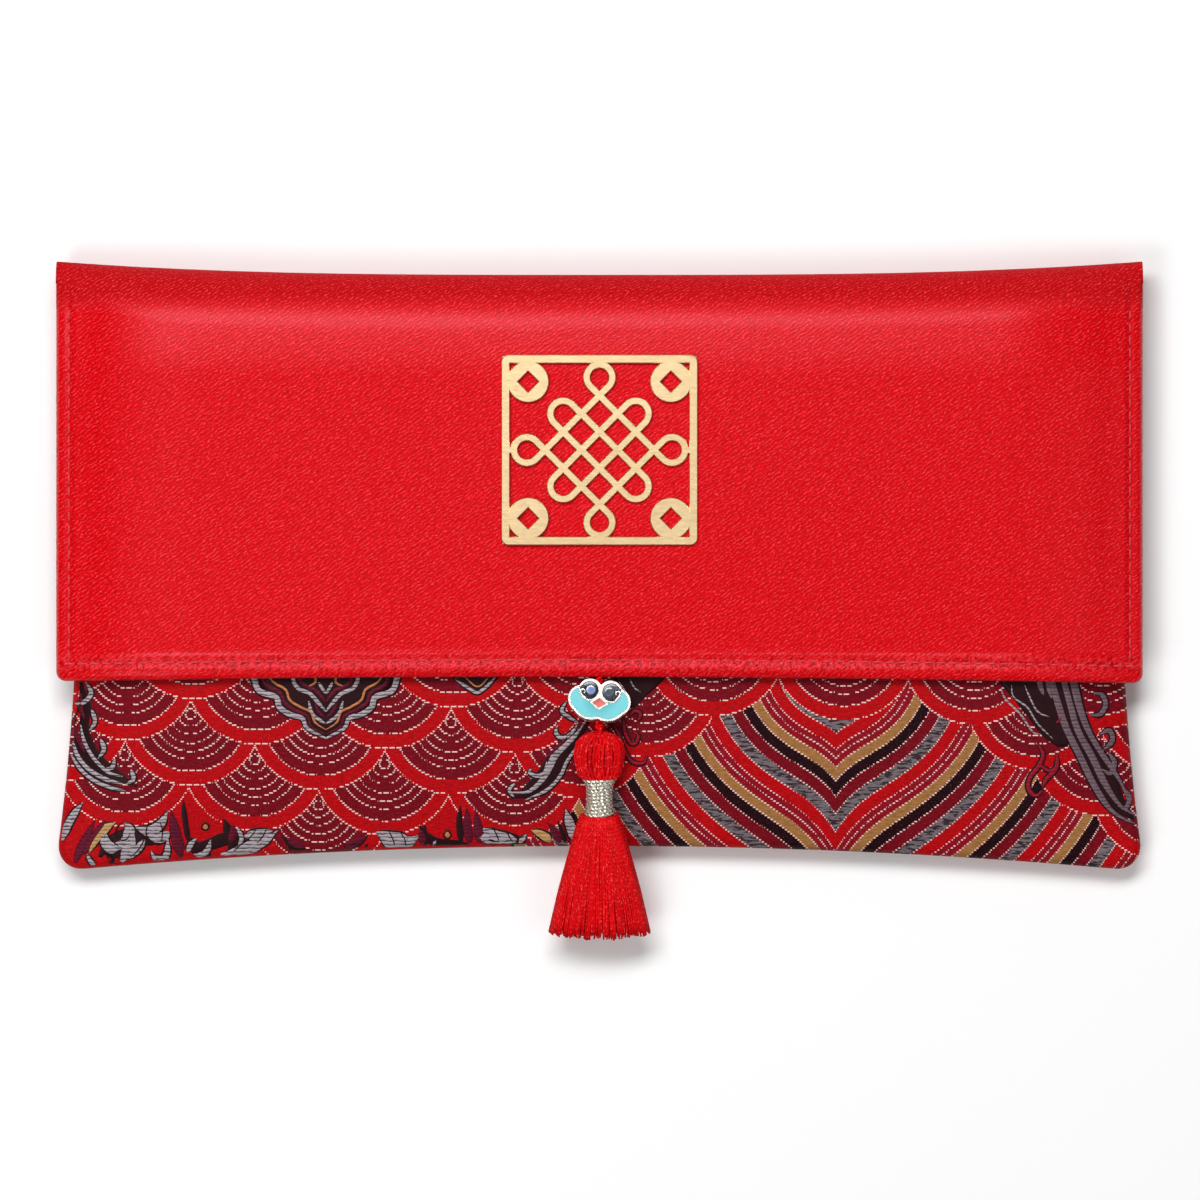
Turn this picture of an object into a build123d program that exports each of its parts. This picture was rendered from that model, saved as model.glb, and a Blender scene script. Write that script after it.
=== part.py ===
from build123d import *
import os
from math import atan2, cos, degrees, pi, radians, sin, sqrt, tan

# A padded gift envelope that lies on its back with its flap closed.
# X runs across it, Y up its front towards the fold, and Z out of its front, in millimetres.
# The origin is the middle of the flat that it lies on.

# Pouch, seen from the front
foot_width = 189.2            # across the lower corners
foot_width_drop = 48.0        # how far below the origin that width is measured
waist_draw = 3.07             # how far each side is drawn in at the waist
foot_drop = 50.1              # from the origin down to the middle of the foot seam
corner_drop = 3.8             # further fall of the foot seam towards its corners
corner_reach = 88.0           # how far from the middle that fall is measured
corner_radius = 5.2
mouth_rise = 38.0             # from the origin up to the mouth

# Pouch, in section
pouch_height = 11.4           # outer face of the front at its crown
seam_height = 4.6             # middle of the side and foot seams
front_side_roll = 22.0        # width over which the front rises from a side seam
front_foot_roll = 34.0        # the same from the foot seam
back_side_roll = 18.0
back_foot_roll = 18.0
back_flattening = 0.15        # how much of the padded back the table presses flat
brocade = 0.5
lining = 0.3
front_board = 1.0
back_board = 0.8
seam_ply = 1.36               # turned-in raw edges, pressed together
seam_margin = 3.5             # width of the turned-in edges
board_margin = 5.0            # from the seams to the edge of a stiffener
lining_margin = 4.0
inner_corner_radius = 2.5
mouth_hem_depth = 8.0         # brocade turned in at the mouth of the front
ply_gap = 0.12                # air between two plies

# Flap and fold
flap_overhang = 0.4           # beyond the foot width, each side
flap_drop = 20.4              # from the origin down to the middle of the lower edge
flap_corner_drop = 1.0
flap_corner_radius = 1.8
flap_roll = 25.0              # width over which the flap rises from a side edge
flap_fall = 5.5               # from its crown down to its side edges
flap_lift = 0.5               # air between pouch and flap
satin = 0.5
flap_board = 1.2
flap_hem_width = 4.0          # satin turned in along the sides and the lower edge
flap_lining_margin = 1.0
fold_rise = 49.9              # from the origin up to the middle of the fold
fold_corner_rise = 2.4        # further rise towards the corners
fold_power = 3.2              # how late that rise comes
fold_half_shares = (0.2, 0.38, 0.55, 0.68, 0.74, 0.79, 0.84, 0.88, 0.92, 0.955, 0.98, 1)
fold_station_shares = [-share for share in reversed(fold_half_shares)] + [0] + list(fold_half_shares)

# Topstitching of the flap
stitch_margin = 2.4           # from the side edges to the seam
stitch_foot_margin = 3.0      # the same from the lower edge
stitch_pitch = 2.2
stitch_length = 1.4
stitch_width = 0.4
stitch_height = 0.3

# Magnets of the closure, one under the other
magnet_diameter = 10.0
magnet_fit = 0.1              # air round a magnet in its hole
magnet_drop = 11.0            # below the origin

# Plaque
plaque_width = 34.1
plaque_height = 33.05
plaque_rise = 19.1            # its middle, above the origin
plaque_thickness = 0.8
plaque_edge = 0.12            # broken edge round the upper face
plaque_frame = 1.45
plaque_corner_radius = 1.3
knot_bar = 1.25               # width of the strokes of the pierced knot
knot_bite = 0.4               # how far the knot and the coins run into the frame
coin_radius = 3.6
coin_hole = 2.6
glue_thickness = 0.15
glue_inset = 0.2

# Hanging cord and charm
cord_diameter = 1.3
cord_tail = 3.0               # sewn in between the plies of the flap
cord_fit = 0.15               # air round the cord in a hole or a notch
cord_bend = 6.0
charm_width = 10.9
charm_height = 7.0
charm_thickness = 3.2
charm_drop = 24.5             # its middle, below the origin
charm_turn = -6.0             # degrees that it hangs askew
charm_wall = 0.36             # metal between two fields of enamel
enamel_depth = 0.45
enamel_gap = 0.05
eye_radius = 1.45
eye_pupil = 0.7               # the bead of metal in each eye
coral_width = 2.5
coral_height = 1.8
charm_lobe_shares = ((0, 0.72), (0.36, 1.0), (0.68, 0.62))
charm_side_shares = ((0.68, 0.62), (1.0, -0.05), (0.78, -0.62))
charm_foot_shares = ((0.78, -0.62), (0.42, -1.0), (0, -0.95))
eye_place_shares = (0.35, 0.42)
coral_place_share = -0.16
crescent_top_share = 0.52

# Tassel, measured along its own axis from the knot that it hangs on
knot_drop = 29.2              # below the origin
knot_radius = 0.85
knot_gap = 0.15               # air at the ends of the cord next to the knot
swing_limit = 25.0            # degrees to either side
tassel_tilt = 11.5            # degrees that it falls towards the foot
tassel_lift = 0.35            # air between the pouch and the tassel as it swings
head_start = 1.15
head_length = 7.6
head_width = 8.8
head_depth = 5.4
head_foot_width = 6.2
head_top_width = 2.4
head_belly_share = 0.52
cord_seat = 2.0               # how far the cord runs into the head
cord_seat_gap = 0.05          # air round it there
wrap_length = 7.1
wrap_diameter = 4.8
thread_diameter = 0.5
thread_pitch = 0.95
thread_gap = 0.06             # air between thread and neck
thread_turns = 6
skirt_length = 21.6
skirt_widths = (7.4, 11.2, 15.0, 17.8)
skirt_depths = (4.6, 5.4, 6.0, 6.4)
skirt_place_shares = (0, 0.3, 0.68, 1)

surface_tolerance = 0.01
drape_margin = 3.0            # of a draped face, beyond the outlines that cut it
overrun = 1.0

# Heights of the plies at the crown, worked out from the table upwards
front_inner_edge = seam_height + seam_ply / 2 + ply_gap
front_edge = front_inner_edge + brocade
back_inner_edge = seam_height - seam_ply / 2 - ply_gap
front_board_top = -brocade - ply_gap
front_lining_top = front_board_top - front_board - ply_gap
back_board_foot = ply_gap
back_lining_foot = back_board_foot + back_board + ply_gap
flap_lining_foot = pouch_height + flap_lift
flap_board_foot = flap_lining_foot + lining + ply_gap
satin_foot = flap_board_foot + flap_board + ply_gap
flap_height = satin_foot + satin
flap_half = foot_width / 2 + flap_overhang
flap_level_half = flap_half - flap_roll
cord_level = flap_board_foot + flap_board / 2


def rise(t):
    """Rise of a padded edge: 0 at its seam, 1 where the panel lies level."""
    if t < 0:
        return 2 * t
    return 1 - (1 - min(t, 1)) ** 2


def side_line(y):
    """Half the width of the pouch at a height."""
    return foot_width / 2 - waist_draw * (1 - (y / foot_width_drop) ** 2)


def foot_line(x):
    """Height of the foot seam at a place across the pouch."""
    return -foot_drop - corner_drop * (x / corner_reach) ** 2


def front_height(x, y):
    """Outer face of the front panel."""
    side = rise((side_line(y) - abs(x)) / front_side_roll)
    foot = rise((y - foot_line(x)) / front_foot_roll)
    return front_edge + (pouch_height - front_edge) * side * foot


def back_height(x, y):
    """Inner face of the back panel."""
    side = rise((side_line(y) - abs(x)) / back_side_roll)
    foot = rise((y - foot_line(x)) / back_foot_roll)
    return brocade + (back_inner_edge - brocade) * (1 - side * foot)


def flap_sag(x):
    """How far the flap lies below its own crown."""
    radius = (flap_roll ** 2 + flap_fall ** 2) / (2 * flap_fall)
    beyond = max(abs(x) - flap_level_half, 0)
    return radius - sqrt(radius ** 2 - beyond ** 2)


def fold_radius(x):
    """Outer radius of the fold, from the back of the yoke to the face of the flap."""
    y = fold_rise
    return (flap_height - flap_sag(x) - back_height(x, y) + brocade) / 2


def fold_line(x):
    """Height at which the flat plies end and the fold begins."""
    top = fold_rise + fold_corner_rise * (abs(x) / flap_half) ** fold_power
    return top - fold_radius(x)


def draped_face(height, top):
    """A face over the whole pouch that follows a height function."""
    across, up = 61, 37
    half = foot_width / 2 + drape_margin
    low = foot_line(half) - drape_margin
    span = top + drape_margin - low
    rows = []
    for i in range(across):
        x = half * (2 * i / (across - 1) - 1)
        column = []
        for j in range(up):
            y = low + span * j / (up - 1)
            column.append(Vector(x, y, height(x, y)))
        rows.append(column)
    return Face.make_surface_from_array_of_points(rows, tol=surface_tolerance, min_deg=3, max_deg=3)


def draped_ply(face, foot, thickness, outline):
    """A ply of even height on a draped face, cut to an outline."""
    sheet = extrude(Pos(0, 0, foot) * face, amount=thickness, dir=(0, 0, 1))
    tall = pouch_height + flap_lift
    cutter = extrude(Pos(0, 0, -tall) * outline, amount=3 * tall)
    return sheet & cutter


def pouch_corner(inset):
    """Where the side and foot lines of the pouch cross, both moved in by an inset."""
    x = foot_width / 2 - inset
    for _ in range(8):
        y = foot_line(x) + inset
        x = side_line(y) - inset
    return x, y


def pouch_outline(top, inset, radius):
    """The pouch seen from the front, up to a level top."""
    x, y = pouch_corner(inset)
    middle = (y + top) / 2
    edges = [
        ThreePointArc((-x, y), (0, foot_line(0) + inset), (x, y)),
        ThreePointArc((x, y), (side_line(middle) - inset, middle), (side_line(top) - inset, top)),
        Line((side_line(top) - inset, top), (inset - side_line(top), top)),
        ThreePointArc((inset - side_line(top), top), (inset - side_line(middle), middle), (-x, y)),
    ]
    face = make_face(edges)
    return fillet(face.vertices().sort_by(Axis.Y)[:2], radius)


def under_fold(gap, inset):
    """The region below the line where the fold begins."""
    half = flap_half + overrun
    low = foot_line(half) - overrun
    points = []
    for share in fold_station_shares:
        x = half * share
        points.append((x, fold_line(min(abs(x), flap_half - inset)) - gap))
    return make_face([Spline(*points), Polyline(points[-1], (half, low), (-half, low), points[0])])


def flap_outline(inset, gap):
    """The flat part of the flap seen from the front, from its lower edge to the fold."""
    half = flap_half - inset
    foot = inset - flap_drop
    top = fold_rise + fold_corner_rise
    corner = foot - flap_corner_drop
    edges = [
        ThreePointArc((-half, corner), (0, foot), (half, corner)),
        Polyline((half, corner), (half, top), (-half, top), (-half, corner)),
    ]
    face = make_face(edges)
    face = fillet(face.vertices().sort_by(Axis.Y)[:2], flap_corner_radius)
    return face & under_fold(gap, 0)


def flap_ply(foot, thickness, outline):
    """A ply of the flap: level in the middle, rolled down along both sides."""
    half = flap_half + overrun
    ends = (flap_level_half + half) / 2

    def arch(level):
        return [
            ThreePointArc(
                (-half, 0, level - flap_sag(half)),
                (-ends, 0, level - flap_sag(ends)),
                (-flap_level_half, 0, level),
            ),
            Line((-flap_level_half, 0, level), (flap_level_half, 0, level)),
            ThreePointArc(
                (flap_level_half, 0, level),
                (ends, 0, level - flap_sag(ends)),
                (half, 0, level - flap_sag(half)),
            ),
        ]

    lower, upper = arch(foot), arch(foot + thickness)
    walls = [Line(lower[0] @ 0, upper[0] @ 0), Line(lower[2] @ 1, upper[2] @ 1)]
    section = make_face(lower + upper + walls)
    long = fold_rise + fold_corner_rise + overrun
    sheet = extrude(Pos(0, long, 0) * section, amount=2 * long, dir=(0, -1, 0))
    cutter = extrude(outline, amount=2 * (foot + thickness))
    return sheet & cutter


def half_ring(x, low, high, thickness):
    """Section of a fold at a place across the envelope: a half ring that bulges up the front."""
    radius = (high - low) / 2
    middle = (high + low) / 2
    inner = radius - thickness
    start = fold_line(x)
    slant = 1 / sqrt(2)

    def at(r, up, out):
        return (x, start + r * out, middle + r * up)

    edges = [
        ThreePointArc(at(radius, -1, 0), at(radius, -slant, slant), at(radius, 0, 1)),
        ThreePointArc(at(radius, 0, 1), at(radius, slant, slant), at(radius, 1, 0)),
        Line(at(radius, 1, 0), at(inner, 1, 0)),
        ThreePointArc(at(inner, 1, 0), at(inner, slant, slant), at(inner, 0, 1)),
        ThreePointArc(at(inner, 0, 1), at(inner, -slant, slant), at(inner, -1, 0)),
        Line(at(inner, -1, 0), at(radius, -1, 0)),
    ]
    return make_face(edges)


def back_panel(face):
    """Brocade of the back, pressed flat where it lies on the table."""
    outline = pouch_outline(mouth_rise, 0, corner_radius)
    ply = draped_ply(face, -brocade - back_flattening, brocade + back_flattening, outline)
    return ply & table_side()


def table_side():
    """Everything above the table."""
    wide = foot_width + flap_half
    return Pos(0, 0, pouch_height) * Box(wide, wide, 2 * pouch_height)


def back_yoke(face):
    """Satin of the back, from the mouth up to the fold."""
    top = fold_rise + fold_corner_rise
    outline = pouch_outline(top, 0, corner_radius) & under_fold(ply_gap, 0)
    below = mouth_rise + ply_gap
    outline = outline - Pos(0, below - top) * Rectangle(3 * foot_width, 2 * top)
    ply = draped_ply(face, -brocade - back_flattening, brocade + back_flattening, outline)
    return ply & table_side()


def back_ply(face, foot, thickness, margin):
    """A ply inside the back that reaches from the foot seam up to the fold."""
    top = fold_rise + fold_corner_rise
    outline = pouch_outline(top, margin, inner_corner_radius) & under_fold(ply_gap, margin)
    return draped_ply(face, foot, thickness, outline)


def front_panel(face):
    """Brocade of the front, from the foot seam up to the mouth."""
    return draped_ply(face, -brocade, brocade, pouch_outline(mouth_rise, 0, corner_radius))


def magnet_hole(foot, thickness):
    """Room for a magnet in a stiffener."""
    radius = magnet_diameter / 2 + magnet_fit
    return Pos(0, -magnet_drop, foot + thickness / 2) * Cylinder(radius, 3 * thickness)


def magnet(foot, thickness):
    """A disc magnet as thick as the stiffener that holds it."""
    return Pos(0, -magnet_drop, foot + thickness / 2) * Cylinder(magnet_diameter / 2, thickness)


def front_stiffener(face):
    """Board behind the brocade of the front, with a hole for its magnet."""
    outline = pouch_outline(mouth_rise - ply_gap, board_margin, inner_corner_radius)
    ply = draped_ply(face, front_board_top - front_board, front_board, outline)
    return ply - magnet_hole(pouch_height + front_board_top - front_board, front_board)


def front_lining(face):
    """Lining of the front, which stops at the turned-in edge of the mouth."""
    top = mouth_rise - mouth_hem_depth - ply_gap
    outline = pouch_outline(top, lining_margin, inner_corner_radius)
    return draped_ply(face, front_lining_top - lining, lining, outline)


def mouth_hem(face):
    """Brocade of the front turned in at the mouth, level with the lining."""
    outline = pouch_outline(mouth_rise, lining_margin, inner_corner_radius)
    below = mouth_rise - mouth_hem_depth
    outline = outline - Pos(0, below - foot_width) * Rectangle(2 * foot_width, 2 * foot_width)
    return draped_ply(face, front_lining_top - brocade, brocade, outline)


def seam_allowance():
    """Turned-in edges of both panels, sewn together along the sides and the foot."""
    outer = pouch_outline(mouth_rise, 0, corner_radius)
    inner = pouch_outline(mouth_rise + overrun, seam_margin, inner_corner_radius)
    return extrude(Pos(0, 0, seam_height - seam_ply / 2) * (outer - inner), amount=seam_ply)


def flap_fold():
    """Satin that goes round the top from the yoke to the flap."""
    sections = []
    for share in fold_station_shares:
        x = share * flap_half
        low = back_height(x, fold_rise) - brocade
        sections.append(half_ring(x, low, flap_height - flap_sag(x), satin))
    return loft(sections, ruled=True)


def fold_lining():
    """Lining that goes round the inside of the fold."""
    sections = []
    for share in fold_station_shares:
        x = share * (flap_half - lining_margin)
        low = back_height(x, fold_rise) + back_lining_foot
        high = flap_lining_foot + lining - flap_sag(x)
        sections.append(half_ring(x, low, high, lining))
    return loft(sections, ruled=True)


def flap_cover():
    """Satin face of the flap."""
    return flap_ply(satin_foot, satin, flap_outline(0, ply_gap))


def flap_hem():
    """Satin turned in round the stiffener, notched for the tail of the cord."""
    ring = flap_outline(0, ply_gap) - flap_outline(flap_hem_width, -flap_hem_width)
    notch = cord_diameter + 2 * cord_fit
    ring = ring - Pos(0, -flap_drop) * Rectangle(notch, 2 * (cord_tail + cord_fit))
    return flap_ply(flap_board_foot, flap_board, ring)


def flap_stiffener():
    """Board inside the flap, with a hole for its magnet."""
    ply = flap_ply(flap_board_foot, flap_board, flap_outline(flap_hem_width + ply_gap, ply_gap))
    return ply - magnet_hole(flap_board_foot, flap_board)


def flap_lining():
    """Lining of the flap."""
    return flap_ply(flap_lining_foot, lining, flap_outline(flap_lining_margin, ply_gap))


def stitch(x, y, turn, lean):
    """One stitch of the topstitching, lying on the satin."""
    height = flap_height - flap_sag(x) + ply_gap + stitch_height / 2
    body = Box(stitch_length, stitch_width, stitch_height)
    return Pos(x, y, height) * Rot(0, lean, 0) * Rot(0, 0, turn) * body


def flap_topstitch():
    """A row of stitches along the lower edge and up both sides."""
    seam = flap_half - stitch_margin
    foot = stitch_foot_margin - flap_drop
    top = fold_line(seam) - stitch_pitch
    count = int((top - foot) / stitch_pitch)
    half_count = int((seam - stitch_pitch) / stitch_pitch)
    stitches = []
    for side in (-1, 1):
        lean = side * degrees(atan2(flap_sag(seam) - flap_sag(seam - stitch_width), stitch_width))
        for i in range(1, count + 1):
            stitches.append(stitch(side * seam, foot + i * stitch_pitch, 90, lean))
    for i in range(-half_count, half_count + 1):
        x = i * stitch_pitch
        step = flap_sag(abs(x) + stitch_width) - flap_sag(abs(x))
        lean = (1 if x > 0 else -1) * degrees(atan2(step, stitch_width))
        drop = flap_corner_drop * (x / flap_half) ** 2
        stitches.append(stitch(x, foot - drop, 0, lean))
    return Compound(children=stitches)


def knot_reach():
    """From the middle of the plaque to the outermost turn of the knot."""
    return min(plaque_width, plaque_height) / 2 - plaque_frame + knot_bite - knot_bar / 2


def pierced_knot():
    """An endless knot: four bars each way, with a loop at each end and each corner."""
    pitch = knot_reach() / (2 * sqrt(2) + 0.5)
    end = 2 * pitch
    bars = Sketch()
    for place_share in (-1.5, -0.5, 0.5, 1.5):
        bars += Pos(place_share * pitch, 0) * Rectangle(knot_bar, 2 * end)
        bars += Pos(0, place_share * pitch) * Rectangle(2 * end, knot_bar)
    ring = Circle((pitch + knot_bar) / 2) - Circle((pitch - knot_bar) / 2)
    cap = ring - Pos(0, -pitch) * Rectangle(4 * pitch, 2 * pitch)
    ear = ring - Pos(-pitch, -pitch) * Rectangle(2 * pitch, 2 * pitch)
    for quarter in range(4):
        bars += Rot(0, 0, 90 * quarter) * Pos(0, end) * cap
        bars += Rot(0, 0, 90 * quarter) * Pos(end, end) * ear
    return Rot(0, 0, 45) * bars


def plaque():
    """Pierced plate: a square frame, an endless knot in it and a coin in each corner."""
    inner_width = plaque_width - 2 * plaque_frame
    inner_height = plaque_height - 2 * plaque_frame
    frame = RectangleRounded(plaque_width, plaque_height, plaque_corner_radius)
    frame -= Rectangle(inner_width, inner_height)
    coin = Circle(coin_radius) - Rot(0, 0, 45) * Rectangle(coin_hole, coin_hole)
    face = frame + pierced_knot()
    across = inner_width / 2 + knot_bite - knot_reach()
    upright = inner_height / 2 + knot_bite - knot_reach()
    for side in (-1, 1):
        face += Pos(side * (knot_reach() + across / 2), 0) * Rectangle(across, knot_bar)
        face += Pos(0, side * (knot_reach() + upright / 2)) * Rectangle(knot_bar, upright)
        for end in (-1, 1):
            x = side * (inner_width / 2 - coin_radius + knot_bite)
            y = end * (inner_height / 2 - coin_radius + knot_bite)
            face += Pos(x, y) * coin
    plate = extrude(Pos(0, plaque_rise, flap_height + glue_thickness) * face, amount=plaque_thickness)
    return chamfer(plate.faces().sort_by(Axis.Z)[-1].edges(), plaque_edge)


def plaque_glue():
    """Film of glue under the frame of the plaque."""
    film = Rectangle(plaque_width - 2 * glue_inset, plaque_height - 2 * glue_inset)
    hole = plaque_frame - glue_inset
    film -= Rectangle(plaque_width - 2 * hole, plaque_height - 2 * hole)
    return extrude(Pos(0, plaque_rise, flap_height) * film, amount=glue_thickness)


def tassel_pivot():
    """The knot's height, so that the swinging tassel clears the pouch along its whole length."""
    slope = tan(radians(tassel_tilt))
    head = head_start + head_belly_share * head_length
    neck = head_start + head_length
    tail = neck + wrap_length
    needs = []
    for along, radius in (
        (head, head_depth / 2),
        (neck, wrap_diameter / 2),
        (tail, skirt_depths[0] / 2),
        (tail + skirt_place_shares[1] * skirt_length, skirt_depths[1] / 2),
    ):
        flat = along * cos(radians(tassel_tilt))
        y = -knot_drop - flat * cos(radians(swing_limit))
        ground = front_height(0, max(y, -foot_drop))
        needs.append(ground + (radius + tassel_lift) / cos(radians(tassel_tilt)) + flat * slope)
    return max(needs)


knot_height = tassel_pivot()
cord_slope = degrees(atan2(knot_height - cord_level, knot_drop - flap_drop))


def hanging_cord():
    """Cord from the lower edge of the flap, through the charm, down to the knot."""
    end_gap = knot_radius + knot_gap
    lean = radians(cord_slope)
    start = (0, cord_tail - flap_drop, cord_level)
    bend = (0, -flap_drop, cord_level)
    end = (0, -knot_drop + end_gap * cos(lean), knot_height - end_gap * sin(lean))
    path = FilletPolyline(start, bend, end, radius=cord_bend)
    section = Plane(origin=start, z_dir=(0, -1, 0)) * Circle(cord_diameter / 2)
    return sweep(section, path=path)


def charm_place():
    """Where the charm sits on the cord, leaning as the cord does."""
    height = cord_level + (charm_drop - flap_drop) * tan(radians(cord_slope))
    return Pos(0, -charm_drop, height) * Rot(-cord_slope, 0, 0) * Rot(0, 0, charm_turn)


def charm_outline():
    """A cloud head: two lobes above, a scalloped foot below."""
    edges = []
    for shares in (charm_lobe_shares, charm_side_shares, charm_foot_shares):
        points = [(x * charm_width / 2, y * charm_height / 2) for x, y in shares]
        edges.append(ThreePointArc(*points))
        edges.append(ThreePointArc(*[(-x, y) for x, y in points]))
    return make_face(edges)


def eye_places():
    """Middles of the two round fields."""
    x = eye_place_shares[0] * charm_width / 2
    y = eye_place_shares[1] * charm_height / 2
    return [(-x, y), (x, y)]


def coral_field(grow):
    """The kite-shaped field between the round ones."""
    wide, tall = coral_width / 2 + grow, coral_height / 2 + grow
    kite = make_face(Polyline((-wide, 0), (0, -tall), (wide, 0), (0, tall), close=True))
    return Pos(0, coral_place_share * charm_height / 2) * kite


def eye_field(grow):
    """Both round fields, each with a bead of metal left standing in it."""
    field = Sketch()
    for x, y in eye_places():
        field += Pos(x, y) * (Circle(eye_radius + grow) - Circle(eye_pupil - grow))
    return field - coral_field(charm_wall - grow)


def crescent_field(grow):
    """The broad field that goes round below the other three."""
    field = offset(charm_outline(), charm_wall * -1 + grow)
    for x, y in eye_places():
        field -= Pos(x, y) * Circle(eye_radius + charm_wall - grow)
    field -= coral_field(charm_wall - grow)
    field -= Pos(0, charm_height / 2) * Rectangle(2 * (eye_places()[1][0] - eye_radius), charm_height)
    top = crescent_top_share * charm_height / 2 + grow
    return field - Pos(0, top + charm_height) * Rectangle(2 * charm_width, 2 * charm_height)


def both_faces(field, depth, inset):
    """A field of the charm as a flat layer in its front and in its back."""
    layers = Part()
    for side in (1, -1):
        level = side * (charm_thickness / 2 - inset)
        layers += extrude(Pos(0, 0, level) * field, amount=depth, dir=(0, 0, -side))
    return layers


def charm_body():
    """Cast metal of the charm, with a hole for the cord and a recess for each field."""
    body = extrude(Pos(0, 0, -charm_thickness / 2) * charm_outline(), amount=charm_thickness)
    for field in (crescent_field(0), eye_field(0), coral_field(0)):
        body -= both_faces(field, enamel_depth + overrun, -overrun)
    hole = Rot(0, 0, -charm_turn) * Rot(90, 0, 0) * Cylinder(cord_diameter / 2 + cord_fit, 2 * charm_height)
    return charm_place() * (body - hole)


def enamel(field):
    """Enamel that fills a recess of the charm in front and behind."""
    return charm_place() * both_faces(field, enamel_depth - enamel_gap, 0)


def bead_knot():
    """Knot under the charm that the tassel hangs on."""
    return Pos(0, -knot_drop, knot_height) * Sphere(knot_radius)


def tassel_place():
    """From the tassel's own axis, which runs down -Y from the knot, to where it lies."""
    return Pos(0, -knot_drop, knot_height) * Rot(tassel_tilt, 0, 0)


def tassel_cord():
    """Cord from the knot into the head."""
    start = knot_radius + knot_gap
    length = head_start + cord_seat - start
    return tassel_place() * Pos(0, -start - length / 2, 0) * Rot(90, 0, 0) * Cylinder(cord_diameter / 2, length)


def tassel_head():
    """Yarn doubled over the cord: an onion shape, flatter than it is wide."""
    belly = head_start + head_belly_share * head_length
    foot = head_start + head_length
    top, side, low = head_top_width / 2, head_width / 2, head_foot_width / 2
    profile = [
        Line((0, -foot), (0, -head_start)),
        Line((0, -head_start), (top, -head_start)),
        Spline((top, -head_start), (side, -belly), (low, -foot)),
        Line((low, -foot), (0, -foot)),
    ]
    head = revolve(make_face(profile), axis=Axis.Y)
    head = scale(head, by=(1, 1, head_depth / head_width))
    seat = Pos(0, -head_start - cord_seat / 2, 0) * Rot(90, 0, 0)
    bore = Cylinder(cord_diameter / 2 + cord_seat_gap, cord_seat)
    return tassel_place() * (head - seat * bore)


def neck_radius():
    """Yarn under the winding."""
    return wrap_diameter / 2 - thread_diameter - thread_gap


def tassel_neck():
    """Yarn between the head and the skirt, under the winding."""
    middle = head_start + head_length + wrap_length / 2
    return tassel_place() * Pos(0, -middle, 0) * Rot(90, 0, 0) * Cylinder(neck_radius(), wrap_length)


def biarc(start, start_dir, end, end_dir):
    """Two arcs that join two places smoothly."""
    chord = end - start
    both = start_dir + end_dir
    spread = 2 * (1 - start_dir.dot(end_dir))
    along = chord.dot(both)
    reach = (sqrt(along ** 2 + spread * chord.dot(chord)) - along) / spread
    joint = (start + end + (start_dir - end_dir) * reach) / 2
    joint_dir = (end - end_dir * reach - start - start_dir * reach).normalized()
    return [Edge.make_tangent_arc(start, start_dir, joint), Edge.make_tangent_arc(joint, joint_dir, end)]


def tassel_wrap():
    """Metallic thread wound round the neck in one unbroken run."""
    radius = (wrap_diameter - thread_diameter) / 2
    first = head_start + head_length + (wrap_length - thread_turns * thread_pitch) / 2
    quarters = 4 * thread_turns
    climb = thread_pitch / (2 * pi)
    points, dirs = [], []
    for i in range(quarters + 1):
        turn = i * pi / 2
        points.append(Vector(radius * cos(turn), -first - climb * turn, radius * sin(turn)))
        dirs.append(Vector(-radius * sin(turn), -climb, radius * cos(turn)).normalized())
    lead_in = points[0] - dirs[0] * thread_diameter
    lead_out = points[-1] + dirs[-1] * thread_diameter
    edges = [Edge.make_line(lead_in, points[0])]
    for i in range(quarters):
        edges += biarc(points[i], dirs[i], points[i + 1], dirs[i + 1])
    edges.append(Edge.make_line(points[-1], lead_out))
    path = Wire(edges)
    print("wrap: turns", thread_turns, "least gap to itself", round(least_gap(path), 3))
    section = Plane(origin=lead_in, z_dir=dirs[0]) * Circle(thread_diameter / 2)
    return tassel_place() * sweep(section, path=path)


def least_gap(path):
    """Smallest air between two turns of the winding, measured on points along it."""
    per_turn = 48
    count = per_turn * thread_turns
    points = [path.position_at(i / count) for i in range(count + 1)]
    gaps = []
    for i in range(count + 1):
        for j in range(i + per_turn // 2, count + 1):
            gaps.append((points[i] - points[j]).length)
    return min(gaps) - thread_diameter


def tassel_skirt():
    """Loose yarn below the winding, flaring to its cut ends."""
    start = head_start + head_length + wrap_length
    sections = []
    for share, width, depth in zip(skirt_place_shares, skirt_widths, skirt_depths):
        plane = Plane(origin=(0, -start - share * skirt_length, 0), x_dir=(1, 0, 0), z_dir=(0, -1, 0))
        sections.append(plane * Ellipse(width / 2, depth / 2))
    return tassel_place() * loft(sections)


front_face = draped_face(front_height, mouth_rise)
back_face = draped_face(back_height, fold_rise + fold_corner_rise)
front_magnet_foot = pouch_height + front_board_top - front_board

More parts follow.
